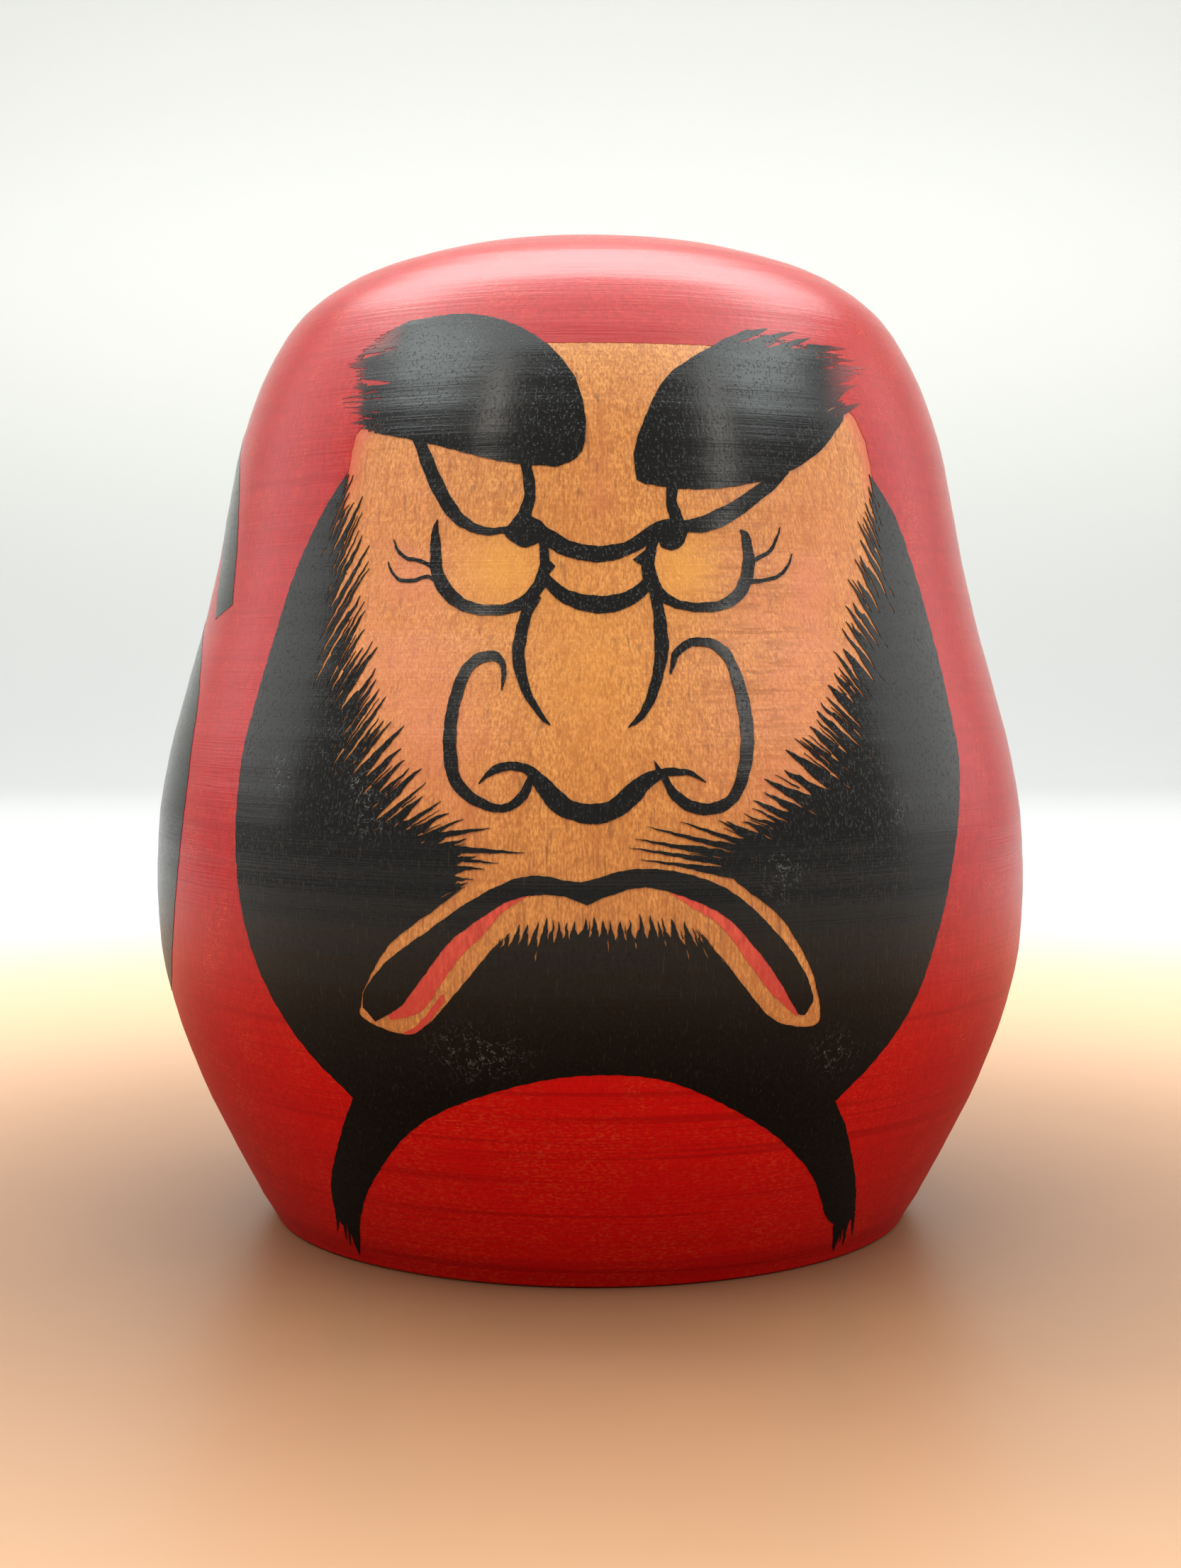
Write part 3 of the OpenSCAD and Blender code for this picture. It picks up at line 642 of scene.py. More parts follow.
MOUTH_TOP = run([
    [-24, 32.4], [-23.6, 34.5], [-21, 37.7], [-16.8, 40.9], [-12.7, 43.9], [-8.2, 46.3], [-5, 46.8],
    [-1, 46.2], [3.7, 47.4], [8.2, 47.3], [12.7, 46], [16, 43.9], [20, 39.8], [22.4, 36.3],
    [23.4, 33.3], [22.5, 31.6]])
MOUTH_LOW_LEFT = run([
    [-0.4, 43.8], [-3.4, 44.8], [-7.8, 44.4], [-11.9, 41.9], [-14.9, 39.4], [-18.1, 35],
    [-20, 32.6], [-22.6, 30.9]])
MOUTH_LOW_RIGHT = run([
    [21.8, 31.7], [19.8, 35.3], [17.7, 38.3], [14.2, 42.2], [10.1, 44.4], [5.6, 45.6], [2, 44.8],
    [-0.4, 43.8]])
LIP_LEFT = np.vstack([run([[-6.2, 44.8], [-8.8, 43.2], [-11.3, 40.4], [-13.6, 38.1],
                           [-15.6, 35.2], [-16.8, 33.2], [-18.6, 31.8], [-21, 31.2]]),
                      [[-22, 32.6], [-15, 41], [-9, 45.4]]])
LIP_FRINGE = run([
    [-19.5, 29.9], [-18, 30.9], [-16.6, 32.6], [-15.4, 34.3], [-15.2, 33.6], [-16.3, 31.9],
    [-17.9, 30.1], [-19.5, 29.7]])
LIP_RIGHT = np.vstack([run([[7.8, 45.3], [10.1, 43.7], [13.4, 41.5], [16, 38.1],
                            [18.7, 34.4], [21.6, 31.5]]), [[22.2, 33], [16.5, 41.4], [11, 45.2]]])

# The bare wood round the mouth, and the beard's own edges.
HALO_LEFT = run([
    [-9.6, 39.8], [-12.3, 36.5], [-15.7, 32.3], [-17.6, 30.4], [-19, 29.7], [-21.4, 30],
    [-24.1, 31.2], [-24.2, 32.6], [-23.6, 34.8], [-20.9, 39.3], [-15.7, 43.4], [-13.4, 45.2]])
HALO_RIGHT = run([
    [14.6, 46.4], [16, 45.2], [19.8, 42.1], [22.95, 37], [24, 33.5], [24.3, 31.6], [23.9, 30.5],
    [22.2, 30.3], [18.8, 31.6], [14.5, 37], [13, 38.8]])
SIDE_LINE_LEFT = [
    [-26.8, 88.4], [-27.1, 84], [-26.7, 80], [-26.1, 76], [-25.9, 71], [-25.2, 67], [-24, 63.5],
    [-22.6, 59.6], [-21, 56.6], [-19.2, 54], [-17.2, 52], [-15.6, 50.6]]
SIDE_LINE_RIGHT = [
    [17, 51.4], [19.6, 54.2], [22.6, 57.8], [25, 61.6], [27, 65.6], [28.8, 70], [29.8, 74],
    [30.6, 79], [31.3, 84], [31.2, 88.4]]
MOUSTACHE_LINE_LEFT = [
    [-15.6, 50.6], [-13.8, 49.6], [-13.2, 48.2], [-13.5, 46.6], [-13.4, 45.2]]
MOUSTACHE_LINE_RIGHT = [[14.6, 46.4], [12.6, 47.6], [12.2, 48.8], [13, 50], [17, 51.4]]
MOUSTACHE_HAIRS = [
    [-16.8, 50.5, -10.3, 51.6, 0.8, 0.04], [-16.2, 49.4, -6.7, 49.1, 0.9, 0.03],
    [-15.6, 48.5, -9.4, 48, 0.6], [-15.2, 47.5, -10.8, 47.4, 0.6], [-15, 46.5, -12, 46.3, 0.4],
    [17.4, 50, 13.2, 52.4, 0.6, 0.04], [17.4, 49.4, 9.2, 52.3, 0.7, 0.04],
    [17, 48.9, 5.8, 51.8, 0.8, 0.05], [16.6, 48.3, 4.5, 50.6, 0.9, 0.04],
    [16.2, 47.7, 3.9, 49.7, 0.8, 0.04], [15.8, 47, 4.9, 48.5, 0.7, 0.05],
    [15.6, 46.4, 8.2, 48, 0.6, 0.05]]
MOUSTACHE_GAPS = [
    [9, 51.5, 17.5, 48.1, 0.45, -0.05], [9, 48.8, 16.2, 46.6, 0.4, -0.04],
    [11, 50.2, 16, 48.6, 0.25]]
CHIN_LINE = [
    [13, 38.8], [11.4, 40.2], [8, 41], [4, 41.3], [0, 41.3], [-4, 41.1], [-8, 40.6], [-9.6, 39.8]]
BEARD_LEFT = run([
    [-25.5, 21.9], [-31.7, 28], [-36.4, 35.9], [-38.6, 44], [-39, 52], [-38.3, 59.4], [-36.2, 67.4],
    [-33, 77.6], [-30, 84], [-26.6, 89.2]])
BEARD_RIGHT = run([
    [31, 89.4], [34.6, 84], [38.1, 73.4], [40.6, 62.2], [41.2, 55], [39.4, 44], [36.1, 33.5],
    [32.2, 27.1], [26.4, 21.3]])
TAIL_RIGHT_OUT = run([[27.8, 18.3], [29.6, 11.3], [30.1, 6.4]])
TAIL_LINE_RIGHT = [[30.1, 6.4], [29.2, 4.6], [28, 4.8]]
ARCH = run([
    [27.6, 5.2], [26.4, 6.6], [24.3, 12.4], [19.9, 17.9], [14.1, 22.1], [7.6, 25.2], [0.6, 25.9],
    [-6.5, 24.9], [-14.7, 21.8], [-20, 17.7], [-24.4, 10.7], [-26.1, 5]])
TAIL_HAIRS = [
    [28.1, 5.4, 27.8, 1.2, 1.3], [28.6, 4.8, 28.5, 2.4, 0.4], [29.1, 5, 29, 1.7, 0.6],
    [29.9, 6, 30.1, 2.8, 0.5], [-28.6, 6.2, -28.9, 3.7, 0.5], [-27.9, 5.8, -27.8, 2.8, 0.5],
    [-27.3, 5.2, -27.4, 2.2, 0.5], [-26.7, 5.6, -26.4, 1.1, 1.5]]
TAIL_GAPS = [
    [28.3, 3, 28.3, 4.6, 0.2], [28.8, 3, 28.8, 4.8, 0.2], [29.6, 3.2, 29.5, 5.4, 0.4],
    [-28.4, 3.6, -28.5, 6.6, 0.2], [-27.6, 3.4, -27.7, 6.4, 0.22], [-27.1, 3.6, -27, 5.6, 0.16]]
TAIL_LINE_LEFT = [[-26.3, 4.4], [-27.4, 4.4], [-28.8, 5.6]]
TAIL_LEFT_OUT = run([[-28.9, 6.6], [-28.9, 11.3], [-26.7, 18.9]])

# Where the wood is left bare above the beard. It ends under the ink, but for the hood's
# straight lower edge and the temples.
TEMPLE_LEFT = run([
    [-28.6, 84.6], [-26.7, 88.6], [-26.3, 90.6], [-26, 92.2], [-25.3, 93.8], [-22.5, 96.2]])
TEMPLE_RIGHT = run([
    [26.5, 97.4], [28.6, 96.4], [29.6, 95.2], [30.6, 93], [31.2, 90.6], [31.6, 88.6], [33, 84.6]])
CHIN_UNDER = run([
    [34.8, 78], [36.4, 68], [37.4, 58], [36.6, 48], [33, 37], [28.6, 31], [22, 28.2], [10, 28],
    [-10, 28], [-22, 28.2], [-28.4, 31], [-33, 38], [-35.8, 48], [-35.4, 58], [-33.6, 67],
    [-31, 77]])
BARE_FACE = np.vstack([
    TEMPLE_LEFT, [[-17, 99], [-10, 101.6], [-7, HOOD_Z]], [[15, HOOD_Z], [20, 100.6]],
    TEMPLE_RIGHT, CHIN_UNDER])

# Folds of the sleeve on one side, [across, z] on a sheet that faces SLEEVE_TURN.
FOLD_UPPER = np.vstack([
    run([[-8, 98.6], [-2, 96.4], [4.8, 91.5], [9.1, 86], [12.5, 79], [14.4, 75.2]]),
    run([[9, 73.6], [3.5, 80.4], [0, 84.6], [-4, 90.2], [-8.6, 94.4]])])
FOLD_LOWER = np.vstack([
    run([[-2.6, 73.6], [5.3, 70.2], [9.7, 66.4], [12.9, 61.6], [15.5, 53], [15.2, 46.6],
         [13.8, 40.4], [10.8, 34.4], [7.7, 31.2], [2.4, 28.8]]),
    run([[-5, 27.6], [-11, 33.4], [-14.2, 43], [-14.6, 53], [-12.2, 63], [-7.4, 70.4]])])

# ---- the brushwork as areas ----

brow_left = haired(
    inked(np.vstack([BROW_LEFT_EDGE, BROW_LEFT_UNDER, run(BROW_LEFT_LINE)])),
    strokes(BROW_LEFT_HAIRS, BROW_LEFT_GAPS),
    fringe(11, BROW_LEFT_LINE, [180, 178, 178, 180, 184, 190, 196], [1.2, 0.9, 0.9, 1, 1, 1.4],
           [0.8, 0.9, 1, 1, 1.6, 2.6], 34, (0.25, 0.5), 0.3),
)
brow_right = haired(
    inked(np.vstack([BROW_RIGHT_EDGE, run(BROW_RIGHT_LINE), BROW_RIGHT_UNDER])),
    strokes(BROW_RIGHT_HAIRS, BROW_RIGHT_GAPS),
    fringe(12, BROW_RIGHT_LINE, [22, 22, 18, 14, 12, 16, 30, 36], [0.8, 1, 1, 1.2, 1.2, 0.8],
           [1, 1.2, 1.4, 1.6, 1, 0.8], 26, (0.2, 0.5), 0.3),
)
lid_left = inked(LID_LEFT, INNER_LEFT, KNOT_LEFT)
lid_right = inked(LID_RIGHT, INNER_RIGHT, KNOT_RIGHT)
pouch_left = inked(POUCH_LEFT, SPUR_LEFT)
pouch_right = inked(POUCH_RIGHT, SPUR_RIGHT)
bridge_upper = inked(BRIDGE_UPPER)
nose_side_left = inked(NOSE_SIDE_LEFT)
nose_side_right = inked(NOSE_SIDE_RIGHT)
nose_tip = inked(NOSE_TIP, NOSE_SPUR)
mouth = inked(np.vstack([MOUTH_TOP, MOUTH_LOW_RIGHT, MOUTH_LOW_LEFT]))
beard = haired(
    inked(np.vstack([
        BEARD_LEFT, run(SIDE_LINE_LEFT), run(MOUSTACHE_LINE_LEFT), HALO_LEFT[::-1],
        run(CHIN_LINE)[::-1], HALO_RIGHT[::-1], run(MOUSTACHE_LINE_RIGHT),
        run(SIDE_LINE_RIGHT), BEARD_RIGHT, TAIL_RIGHT_OUT, run(TAIL_LINE_RIGHT), ARCH,
        run(TAIL_LINE_LEFT), TAIL_LEFT_OUT])),
    fringe(21, SIDE_LINE_LEFT, [66, 64, 62, 60, 58, 56, 52, 46, 38, 26],
           [2.4, 5.6, 6.2, 6, 5.6, 5, 4.6, 4, 3.6, 3.6],
           [5, 8, 9, 9, 8.4, 7.4, 6.4, 5.6, 4.4, 2.6], 36, loose=0.35),
    fringe(22, SIDE_LINE_RIGHT, [160, 150, 142, 134, 128, 124, 120, 116, 112],
           [3.2, 3, 3.2, 3.4, 3.6, 4, 4, 3, 1],
           [2.4, 4.4, 5.2, 5, 5.2, 5.6, 5.6, 4.6, 2.6], 36, loose=0.35),
    strokes(MOUSTACHE_HAIRS, MOUSTACHE_GAPS),
    fringe(23, MOUSTACHE_LINE_LEFT, [26, 16, 12, 16, 26], [2, 2.6, 3, 2.4, 1.2],
           [2, 1.6, 1.4, 1.4, 1], 8),
    fringe(24, MOUSTACHE_LINE_RIGHT, [168, 174, 168, 160, 150], [1.4, 3.4, 4, 3.6, 2.4],
           [1, 1.6, 2, 2.4, 2.4], 9),
    fringe(25, CHIN_LINE, [128, 112, 100, 93, 89, 85, 78, 62],
           [2.6, 2.2, 1.8, 1.7, 1.6, 1.6, 1.7, 1], [2.4, 1.6, 1.2, 1.4, 1.3, 1.4, 1.8, 1],
           28),
    strokes(TAIL_HAIRS, TAIL_GAPS),
)
fold_upper = inked(FOLD_UPPER)
fold_lower = inked(FOLD_LOWER)
bare_face = inked(BARE_FACE)

# ---- materials ----

# Fibres that run up the log, finer pores, wide streaks, sparse flecks and turning lines: cells
# to a millimetre across and up, detail, shift and roughness.
GRAIN = {
    "fibre": ((2.4, 2.4, 0.6), 4.0, (0, 0, 0), 0.6),
    "mottle": ((3.6, 3.6, 1.9), 2.0, (7, 3, 1)),
    "pore": ((3.8, 3.8, 0.40), 2.0, (2, 9, 4)),
    "streak": ((0.3, 0.3, 0.018), 2.0, (5, 1, 8)),
    "fleck": ((1.7, 1.7, 0.17), 1.0, (3, 5, 2)),
    "turning": ((0.02, 0.02, 4.2), 3.0, (1, 6, 3), 0.7),
    "cells": ((4.4, 4.4, 1.7), 2.0, (8, 2, 5), 0.6),
    "grain_lines": ((1.3, 1.3, 0.045), 2.0, (9, 5, 3), 0.6),
    "brushing": ((0.12, 0.12, 2.8), 3.0, (6, 6, 2), 0.7),
    "rings": ((0.012, 0.012, 1.1), 2.0, (4, 1, 7), 0.6),
}
RELIEF = 0.00006


class Look:
    """A material in the making. A value is a number, or a socket of one of its nodes."""

    def __init__(self, name, *colour):
        self.colour = (*colour, 1.0)
        self.material = bpy.data.materials.new(name)
        self.material.use_nodes = True
        self.tree = self.material.node_tree
        self.tree.nodes.clear()
        self.shader = self.add("ShaderNodeBsdfPrincipled")
        self.add("ShaderNodeOutputMaterial", {"Surface": self.shader.outputs["BSDF"]})

    def feed(self, node, inputs):
        for key, value in inputs.items():
            if isinstance(value, bpy.types.NodeSocket):
                self.tree.links.new(value, node.inputs[key])
            else:
                node.inputs[key].default_value = value

    def add(self, kind, inputs=None, **settings):
        node = self.tree.nodes.new(kind)
        for key, value in settings.items():
            setattr(node, key, value)
        self.feed(node, inputs or {})
        return node

    def calc(self, operation, a, b=0.0):
        return self.add("ShaderNodeMath", {0: a, 1: b}, operation=operation).outputs[0]

    def times(self, a, b):
        return self.calc("MULTIPLY", a, b)

    def part(self, value, low, high):
        """0 below low, 1 above high, and smooth between."""
        inputs = {"Value": value, "From Min": low, "From Max": high}
        made = self.add("ShaderNodeMapRange", inputs, interpolation_type="SMOOTHSTEP")
        return made.outputs["Result"]

    def spot(self):
        """Place on the piece, in the frame's metres."""
        return self.add("ShaderNodeTexCoord").outputs["Object"]

    def rise(self, low, high):
        """0 below one height on the piece and 1 above another, in metres."""
        z = self.add("ShaderNodeSeparateXYZ", {0: self.spot()}).outputs["Z"]
        return self.part(z, low, high)

    def noise(self, scale, detail=2.0, shift=(0, 0, 0), rough=0.5):
        """Noise with so many cells to a nominal millimetre each way."""
        scale = tuple(k / m for k, m in zip(scale, TO_FRAME))
        inputs = {"Vector": self.spot(), "Scale": scale, "Location": shift}
        where = self.add("ShaderNodeMapping", inputs).outputs["Vector"]
        inputs = {"Vector": where, "Scale": 1.0, "Detail": detail, "Roughness": rough}
        return self.add("ShaderNodeTexNoise", inputs).outputs["Fac"]

    def grain(self, name, low, high):
        return self.part(self.noise(*GRAIN[name]), low, high)

    def field(self, name):
        """A number that the mesh carries on its points."""
        return self.add("ShaderNodeAttribute", attribute_name=name).outputs["Fac"]

    def tint(self, share, *colour):
        """Goes over the colour so far with a share of another."""
        inputs = {0: share, 6: self.colour, 7: (*colour, 1.0)}
        self.colour = self.add("ShaderNodeMix", inputs, data_type="RGBA").outputs[2]

    def grain_tint(self, name, low, high, share, *colour):
        self.tint(self.times(self.grain(name, low, high), share), *colour)

    def relief(self, weights, total=0.0):
        """One fine relief, from how strongly each mark of the grain stands up."""
        for name, weight in weights.items():
            total = self.calc("ADD", total, self.times(self.noise(*GRAIN[name]), weight))
        inputs = {"Height": total, "Strength": 1.0, "Distance": RELIEF}
        normal = self.add("ShaderNodeBump", inputs).outputs["Normal"]
        self.feed(self.shader, {"Normal": normal, "Coat Normal": normal})

    def lacquer(self, rough):
        """The clear coat over paint: full above the chin, and little near the foot."""
        weight = self.calc("ADD", self.times(self.rise(20 * UP, 58 * UP), 0.9), 0.1)
        return self.done({"Roughness": 0.6, "Specular IOR Level": 0.05, "Coat IOR": 1.45,
                          "Coat Weight": weight, "Coat Roughness": rough})

    def done(self, inputs):
        self.feed(self.shader, {"Base Color": self.colour, **inputs})
        return self.material


def wood_material():
    look = Look("bare_wood", 0.50, 0.168, 0.028)
    look.tint(look.grain("cells", 0.34, 0.66), 0.78, 0.325, 0.076)
    look.grain_tint("streak", 0.40, 0.62, 0.25, 0.54, 0.170, 0.024)
    look.grain_tint("fibre", 0.45, 0.75, 0.35, 0.50, 0.160, 0.026)
    look.grain_tint("grain_lines", 0.54, 0.64, 0.5, 0.44, 0.125, 0.018)
    look.grain_tint("pore", 0.53, 0.66, 0.55, 0.38, 0.115, 0.022)
    look.grain_tint("rings", 0.58, 0.66, 0.22, 0.50, 0.150, 0.024)
    look.grain_tint("fleck", 0.65, 0.72, 0.6, 0.26, 0.085, 0.02)
    uneven = look.part(look.noise((0.16, 0.16, 0.12), 3.0, (4, 4, 9)), 0.1, 0.75)
    look.tint(look.times(look.field("blush"), uneven), 0.66, 0.190, 0.088)
    look.tint(look.field("ochre"), 0.74, 0.31, 0.035)
    waves = look.part(look.noise((0.22, 0.22, 1.5), 3.0, (3, 1, 6), 0.6), 0.48, 0.60)
    look.tint(look.times(waves, look.field("curl")), 0.42, 0.125, 0.022)
    strayed = look.times(look.field("stray_dye"), look.grain("cells", 0.1, 0.6))
    look.tint(strayed, 0.56, 0.035, 0.02)
    look.relief({"fibre": 0.5, "cells": 0.9, "turning": 0.35})
    return look.done({"Roughness": 0.42, "Coat Weight": 0.35, "Coat Roughness": 0.3})


def dye_material():
    look = Look("red_dye", 0.34, 0.0008, 0.0016)
    look.tint(look.grain("fibre", 0.28, 0.72), 0.49, 0.005, 0.005)
    # Brighter red on the low front: partly fuller dye, and partly painted light that stands in for
    # light this low front lacks.
    fuller_dye_and_painted_light = look.field("fuller_dye_and_painted_light")
    look.tint(look.times(fuller_dye_and_painted_light, 0.6), 0.80, 0.002, 0.002)
    thin = look.part(look.noise((0.16, 0.16, 0.10), 4.0, (9, 2, 6), 0.6), 0.44, 0.80)
    patch = look.part(look.noise((0.07, 0.07, 0.07), 3.0, (1, 7, 4), 0.6), 0.30, 0.62)
    patch = look.times(look.times(fuller_dye_and_painted_light, patch), 0.42)
    thin = look.calc("MAXIMUM", look.times(thin, 0.6), patch)
    dashes = look.part(look.noise((1.8, 1.8, 4.2), 3.0, (2, 2, 2), 0.65), 0.46, 0.68)
    look.tint(look.times(dashes, thin), 0.74, 0.090, 0.020)
    look.grain_tint("pore", 0.56, 0.70, 0.3, 0.32, 0.0015, 0.003)
    look.grain_tint("turning", 0.46, 0.70, 0.35, 0.34, 0.0008, 0.002)
    look.grain_tint("rings", 0.56, 0.68, 0.55, 0.36, 0.0008, 0.002)
    look.tint(look.times(look.field("second_coat"), 0.55), 0.38, 0.0010, 0.0015)
    look.relief({"fibre": 0.3, "brushing": 0.5, "turning": 0.45})
    return look.lacquer(0.27)


def ink_material():
    look = Look("black_ink", 0.0012, 0.0010, 0.0009)
    look.tint(look.grain("mottle", 0.3, 0.8), 0.005, 0.004, 0.0035)
    dry = look.calc("ADD", look.times(look.grain("brushing", 0.25, 0.6), 0.6), 0.4)
    look.tint(look.times(look.field("thin"), dry), 0.36, 0.03, 0.03)
    look.grain_tint("pore", 0.62, 0.72, 0.3, 0.05, 0.035, 0.025)
    curl = look.noise((0.8, 0.8, 0.8), 3.0, (3, 8, 8), 0.6)
    line = look.calc("ABSOLUTE", look.calc("SUBTRACT", curl, 0.5))
    scratch = look.calc("SUBTRACT", 1.0, look.part(line, 0.004, 0.016))
    scratch = look.times(scratch, look.grain("cells", 0.40, 0.55))
    look.tint(look.times(scratch, look.field("scratched")), 0.15, 0.155, 0.155)
    pits = look.times(look.grain("cells", 0.58, 0.70), -0.5)
    look.relief({"fibre": 0.25, "turning": 0.35, "brushing": 0.2}, pits)
    return look.lacquer(0.18)


def lip_material():
    look = Look("lip_dye", 0.50, 0.026, 0.014)
    look.tint(look.grain("fibre", 0.3, 0.7), 0.78, 0.085, 0.040)
    deep = look.calc("SUBTRACT", 1.0, look.rise(33 * UP, 43 * UP))
    look.tint(look.times(deep, 0.75), 0.55, 0.012, 0.008)
    look.grain_tint("mottle", 0.5, 0.8, 0.4, 0.80, 0.13, 0.05)
    look.relief({"fibre": 0.5, "mottle": 0.35, "turning": 0.3})
    return look.done({"Roughness": 0.45, "Coat Weight": 0.4, "Coat Roughness": 0.3})


FINISHES = {
    "bare_wood": wood_material(),
    "red_dye": dye_material(),
    "black_ink": ink_material(),
    "lip_dye": lip_material(),
}


def finished(piece, slot, node):
    """Gives a piece its material, hangs it under the root body and hides the CAD node that it stands
    for.
    """
    piece.data.materials.append(FINISHES[slot])
    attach(piece, "root")
    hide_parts(node)


# ---- the wood ----

TURN = np.linspace(-math.pi, math.pi, COLUMNS, endpoint=False)


def plain_ring(r, z):
    return np.stack([r * np.sin(TURN), -r * np.cos(TURN), np.full(COLUMNS, float(z))], axis=1)


def turned_ring(s):
    return place(TURN, np.full(COLUMNS, s), 0)


# Soft patches as [strength, x, z, half width, half height] on the front.
BLUSH = [(0.55, -20.5, 72, 8, 16), (0.55, 22.5, 72, 8, 16), (0.4, -20.5, 79, 4.5, 5),
         (0.3, 23, 78, 5, 6), (0.45, -16, 58, 6, 8), (0.4, 18, 58, 6, 7),
         (0.6, 1.4, 87, 1.5, 4.6)]
OCHRE = [(0.8, -9.5, 78.5, 4.5, 4), (0.8, 10, 78.5, 3.6, 4), (0.3, 0, 68, 6, 8)]
CURL = [(0.8, 17, 70, 6, 17)]
SCRATCHED = [(1, -33.6, 56.5, 1.4, 2.4), (1, -23, 52.6, 2.2, 2), (1, -24, 56, 1.6, 2),
             (1, 33, 53, 1.4, 1.8), (1, 20, 46.5, 2, 2.4), (1, -13.5, 104, 0.8, 2),
             (1, -12, 28, 4, 2.4), (1, 26, 27, 2, 2)]


def patches(rows, x, z):
    """How strong a set of patches is at each point."""
    return sum(k * np.exp(-(((x - cx) / wx) ** 2 + ((z - cz) / wz) ** 2))
               for k, cx, cz, wx, wz in rows)


def stains(vertices):
    """How much blush, ochre, stray dye and curly figure the bare wood has at each vertex."""
    x, y, z = vertices.T
    front = (y < 0).astype(float)
    stray = np.zeros(len(x))
    for line, spread in ((TEMPLE_LEFT, 1.5), (TEMPLE_RIGHT, 1.2)):
        for px, pz in dense(line, 0.4, closed=False):
            stray = np.maximum(stray, np.exp(-((np.hypot(x - px, z - pz) / spread) ** 2)))
    return {"blush": front * np.clip(patches(BLUSH, x, z), 0, 1),
            "ochre": front * np.clip(patches(OCHRE, x, z), 0, 0.8),
            "stray_dye": 0.8 * stray * front, "curl": front * patches(CURL, x, z)}


BODY_ROWS = 160
FOOT_ROWS = 5
TOP_GAP = 0.4


def build_body():
    rings = [plain_ring(r, z) for r, z in run(CAVITY, 8)[::-1][1:]]
    rings += [plain_ring(MOUTH_R, MOUTH_TOP_Z), plain_ring(MOUTH_R, FOOT_TOP)]
    rings += [turned_ring(s) for s in np.linspace(float(s_at(FOOT_TOP)), S_END - TOP_GAP, BODY_ROWS)]
    top = place(np.zeros(1), np.array([S_END]), 0)[0]
    body = lathe("body_wood", rings, (0, 0, CAVITY[-1][1]), top)
    set_fields(body.data, stains(np.array([v.co for v in body.data.vertices]) / TO_FRAME))
    return body


def build_foot():
    under = FOOT_R - COAT - FOOT_BEVEL
    rings = [plain_ring(under * k, 0) for k in (0.3, 0.6, 0.9, 0.985, 1)]
    rings += [turned_ring(s) for s in PROFILE_S[BEVEL]]
    rings += [turned_ring(s) for s in np.linspace(1, float(s_at(FOOT_TOP)), FOOT_ROWS)]
    rings += [plain_ring(SPIGOT_R, FOOT_TOP), plain_ring(SPIGOT_R, SPIGOT_TOP - SPIGOT_CHAMFER)]
    rings += [plain_ring(r, SPIGOT_TOP) for r in (SPIGOT_R - SPIGOT_CHAMFER, SPIGOT_R * 0.5)]
    return lathe("foot_wood", rings, (0, 0, 0), (0, 0, SPIGOT_TOP))


finished(build_body(), "bare_wood", "body")
finished(build_foot(), "bare_wood", "foot_disc")

# ---- the dye ----

DYE_LIFT = 0.045
CAP_Z = 108.0
CAP_ROWS = 46


def second_coat(theta, z):
    """Where the hood's edge was gone over twice, deepest above the face."""
    edge = np.clip((HOOD_Z + 2.3 - z) / 0.7, 0, 1) * (z > HOOD_Z - 0.1)
    return edge * (0.35 + 0.65 * np.exp(-((theta / 0.5) ** 4)))


def fuller_dye_and_painted_light(theta, z):
    """Where the red is brightest, on the front below the beard: partly fuller dye, and partly
    painted light making up for the light this low front lacks.
    """
    return np.clip((40 - z) / 12, 0, 1) * np.exp(-((theta / 0.8) ** 4))


def red_coat(name, theta, s, triangles, darker, share):
    """A coat of red dye over triangles that leave some of the points unused."""
    used, back = np.unique(triangles, return_inverse=True)
    theta, s = theta[used], s[used]
    height = z_at(s)
    fields = {"second_coat": second_coat(theta, height) + darker,
              "fuller_dye_and_painted_light": share * fuller_dye_and_painted_light(theta, height)}
    return shell(name, theta, s, back.reshape(triangles.shape), DYE_LIFT, fields)


def build_robe():
    """The dye up to CAP_Z round the face and the ink, then closed over the top in rings."""
    area = belt(FOOT_TOP, CAP_Z)
    for painted in (bare_face, brow_left, brow_right, beard):
        area = area - wrapped(painted, from_front)
    for ink in (fold_upper, fold_lower):
        area = area - wrapped(ink, from_side)
    vertices, triangles = flat_mesh(area, SPACING)
    triangles = welded(vertices, triangles)
    theta, s = from_wrap(vertices)
    at_top = np.nonzero(np.abs(vertices[:, 1] - CAP_Z) < SAME)[0]
    at_top = at_top[np.argsort(vertices[at_top, 0])][:-1]
    count = len(at_top)
    rows = np.linspace(float(s_at(CAP_Z)), S_END, CAP_ROWS)[1:-1]
    ring = at_top
    first = len(theta)
    more = [triangles]
    for k in range(len(rows)):
        above = first + k * count + np.arange(count)
        more.append(np.stack([ring, np.roll(ring, -1), np.roll(above, -1)], axis=1))
        more.append(np.stack([ring, np.roll(above, -1), above], axis=1))
        ring = above
    apex = first + len(rows) * count
    more.append(np.stack([ring, np.roll(ring, -1), np.full(count, apex)], axis=1))
    theta = np.concatenate([theta, np.tile(theta[at_top], len(rows)), [0]])
    s = np.concatenate([s, np.repeat(rows, count), [S_END]])
    return red_coat("robe_red", theta, s, np.vstack(more), 0, 1)


def build_foot_dye():
    bevel_rows = PROFILE_Z[BEVEL]
    area = belt(0.0, FOOT_TOP, bevel_rows) - wrapped(beard, from_front)
    extra = np.array([(u, z) for z in bevel_rows for u in WRAP_COLUMNS[1:-1]])
    vertices, triangles = flat_mesh(area, SPACING, extra)
    theta, s = from_wrap(vertices)
    return red_coat("foot_red", theta, s, welded(vertices, triangles), 0.1, 0.9)


finished(build_robe(), "red_dye", "robe_dye")
finished(build_foot_dye(), "red_dye", "foot_dye")

# ---- the ink and the lips ----

INK_LIFT = 0.09


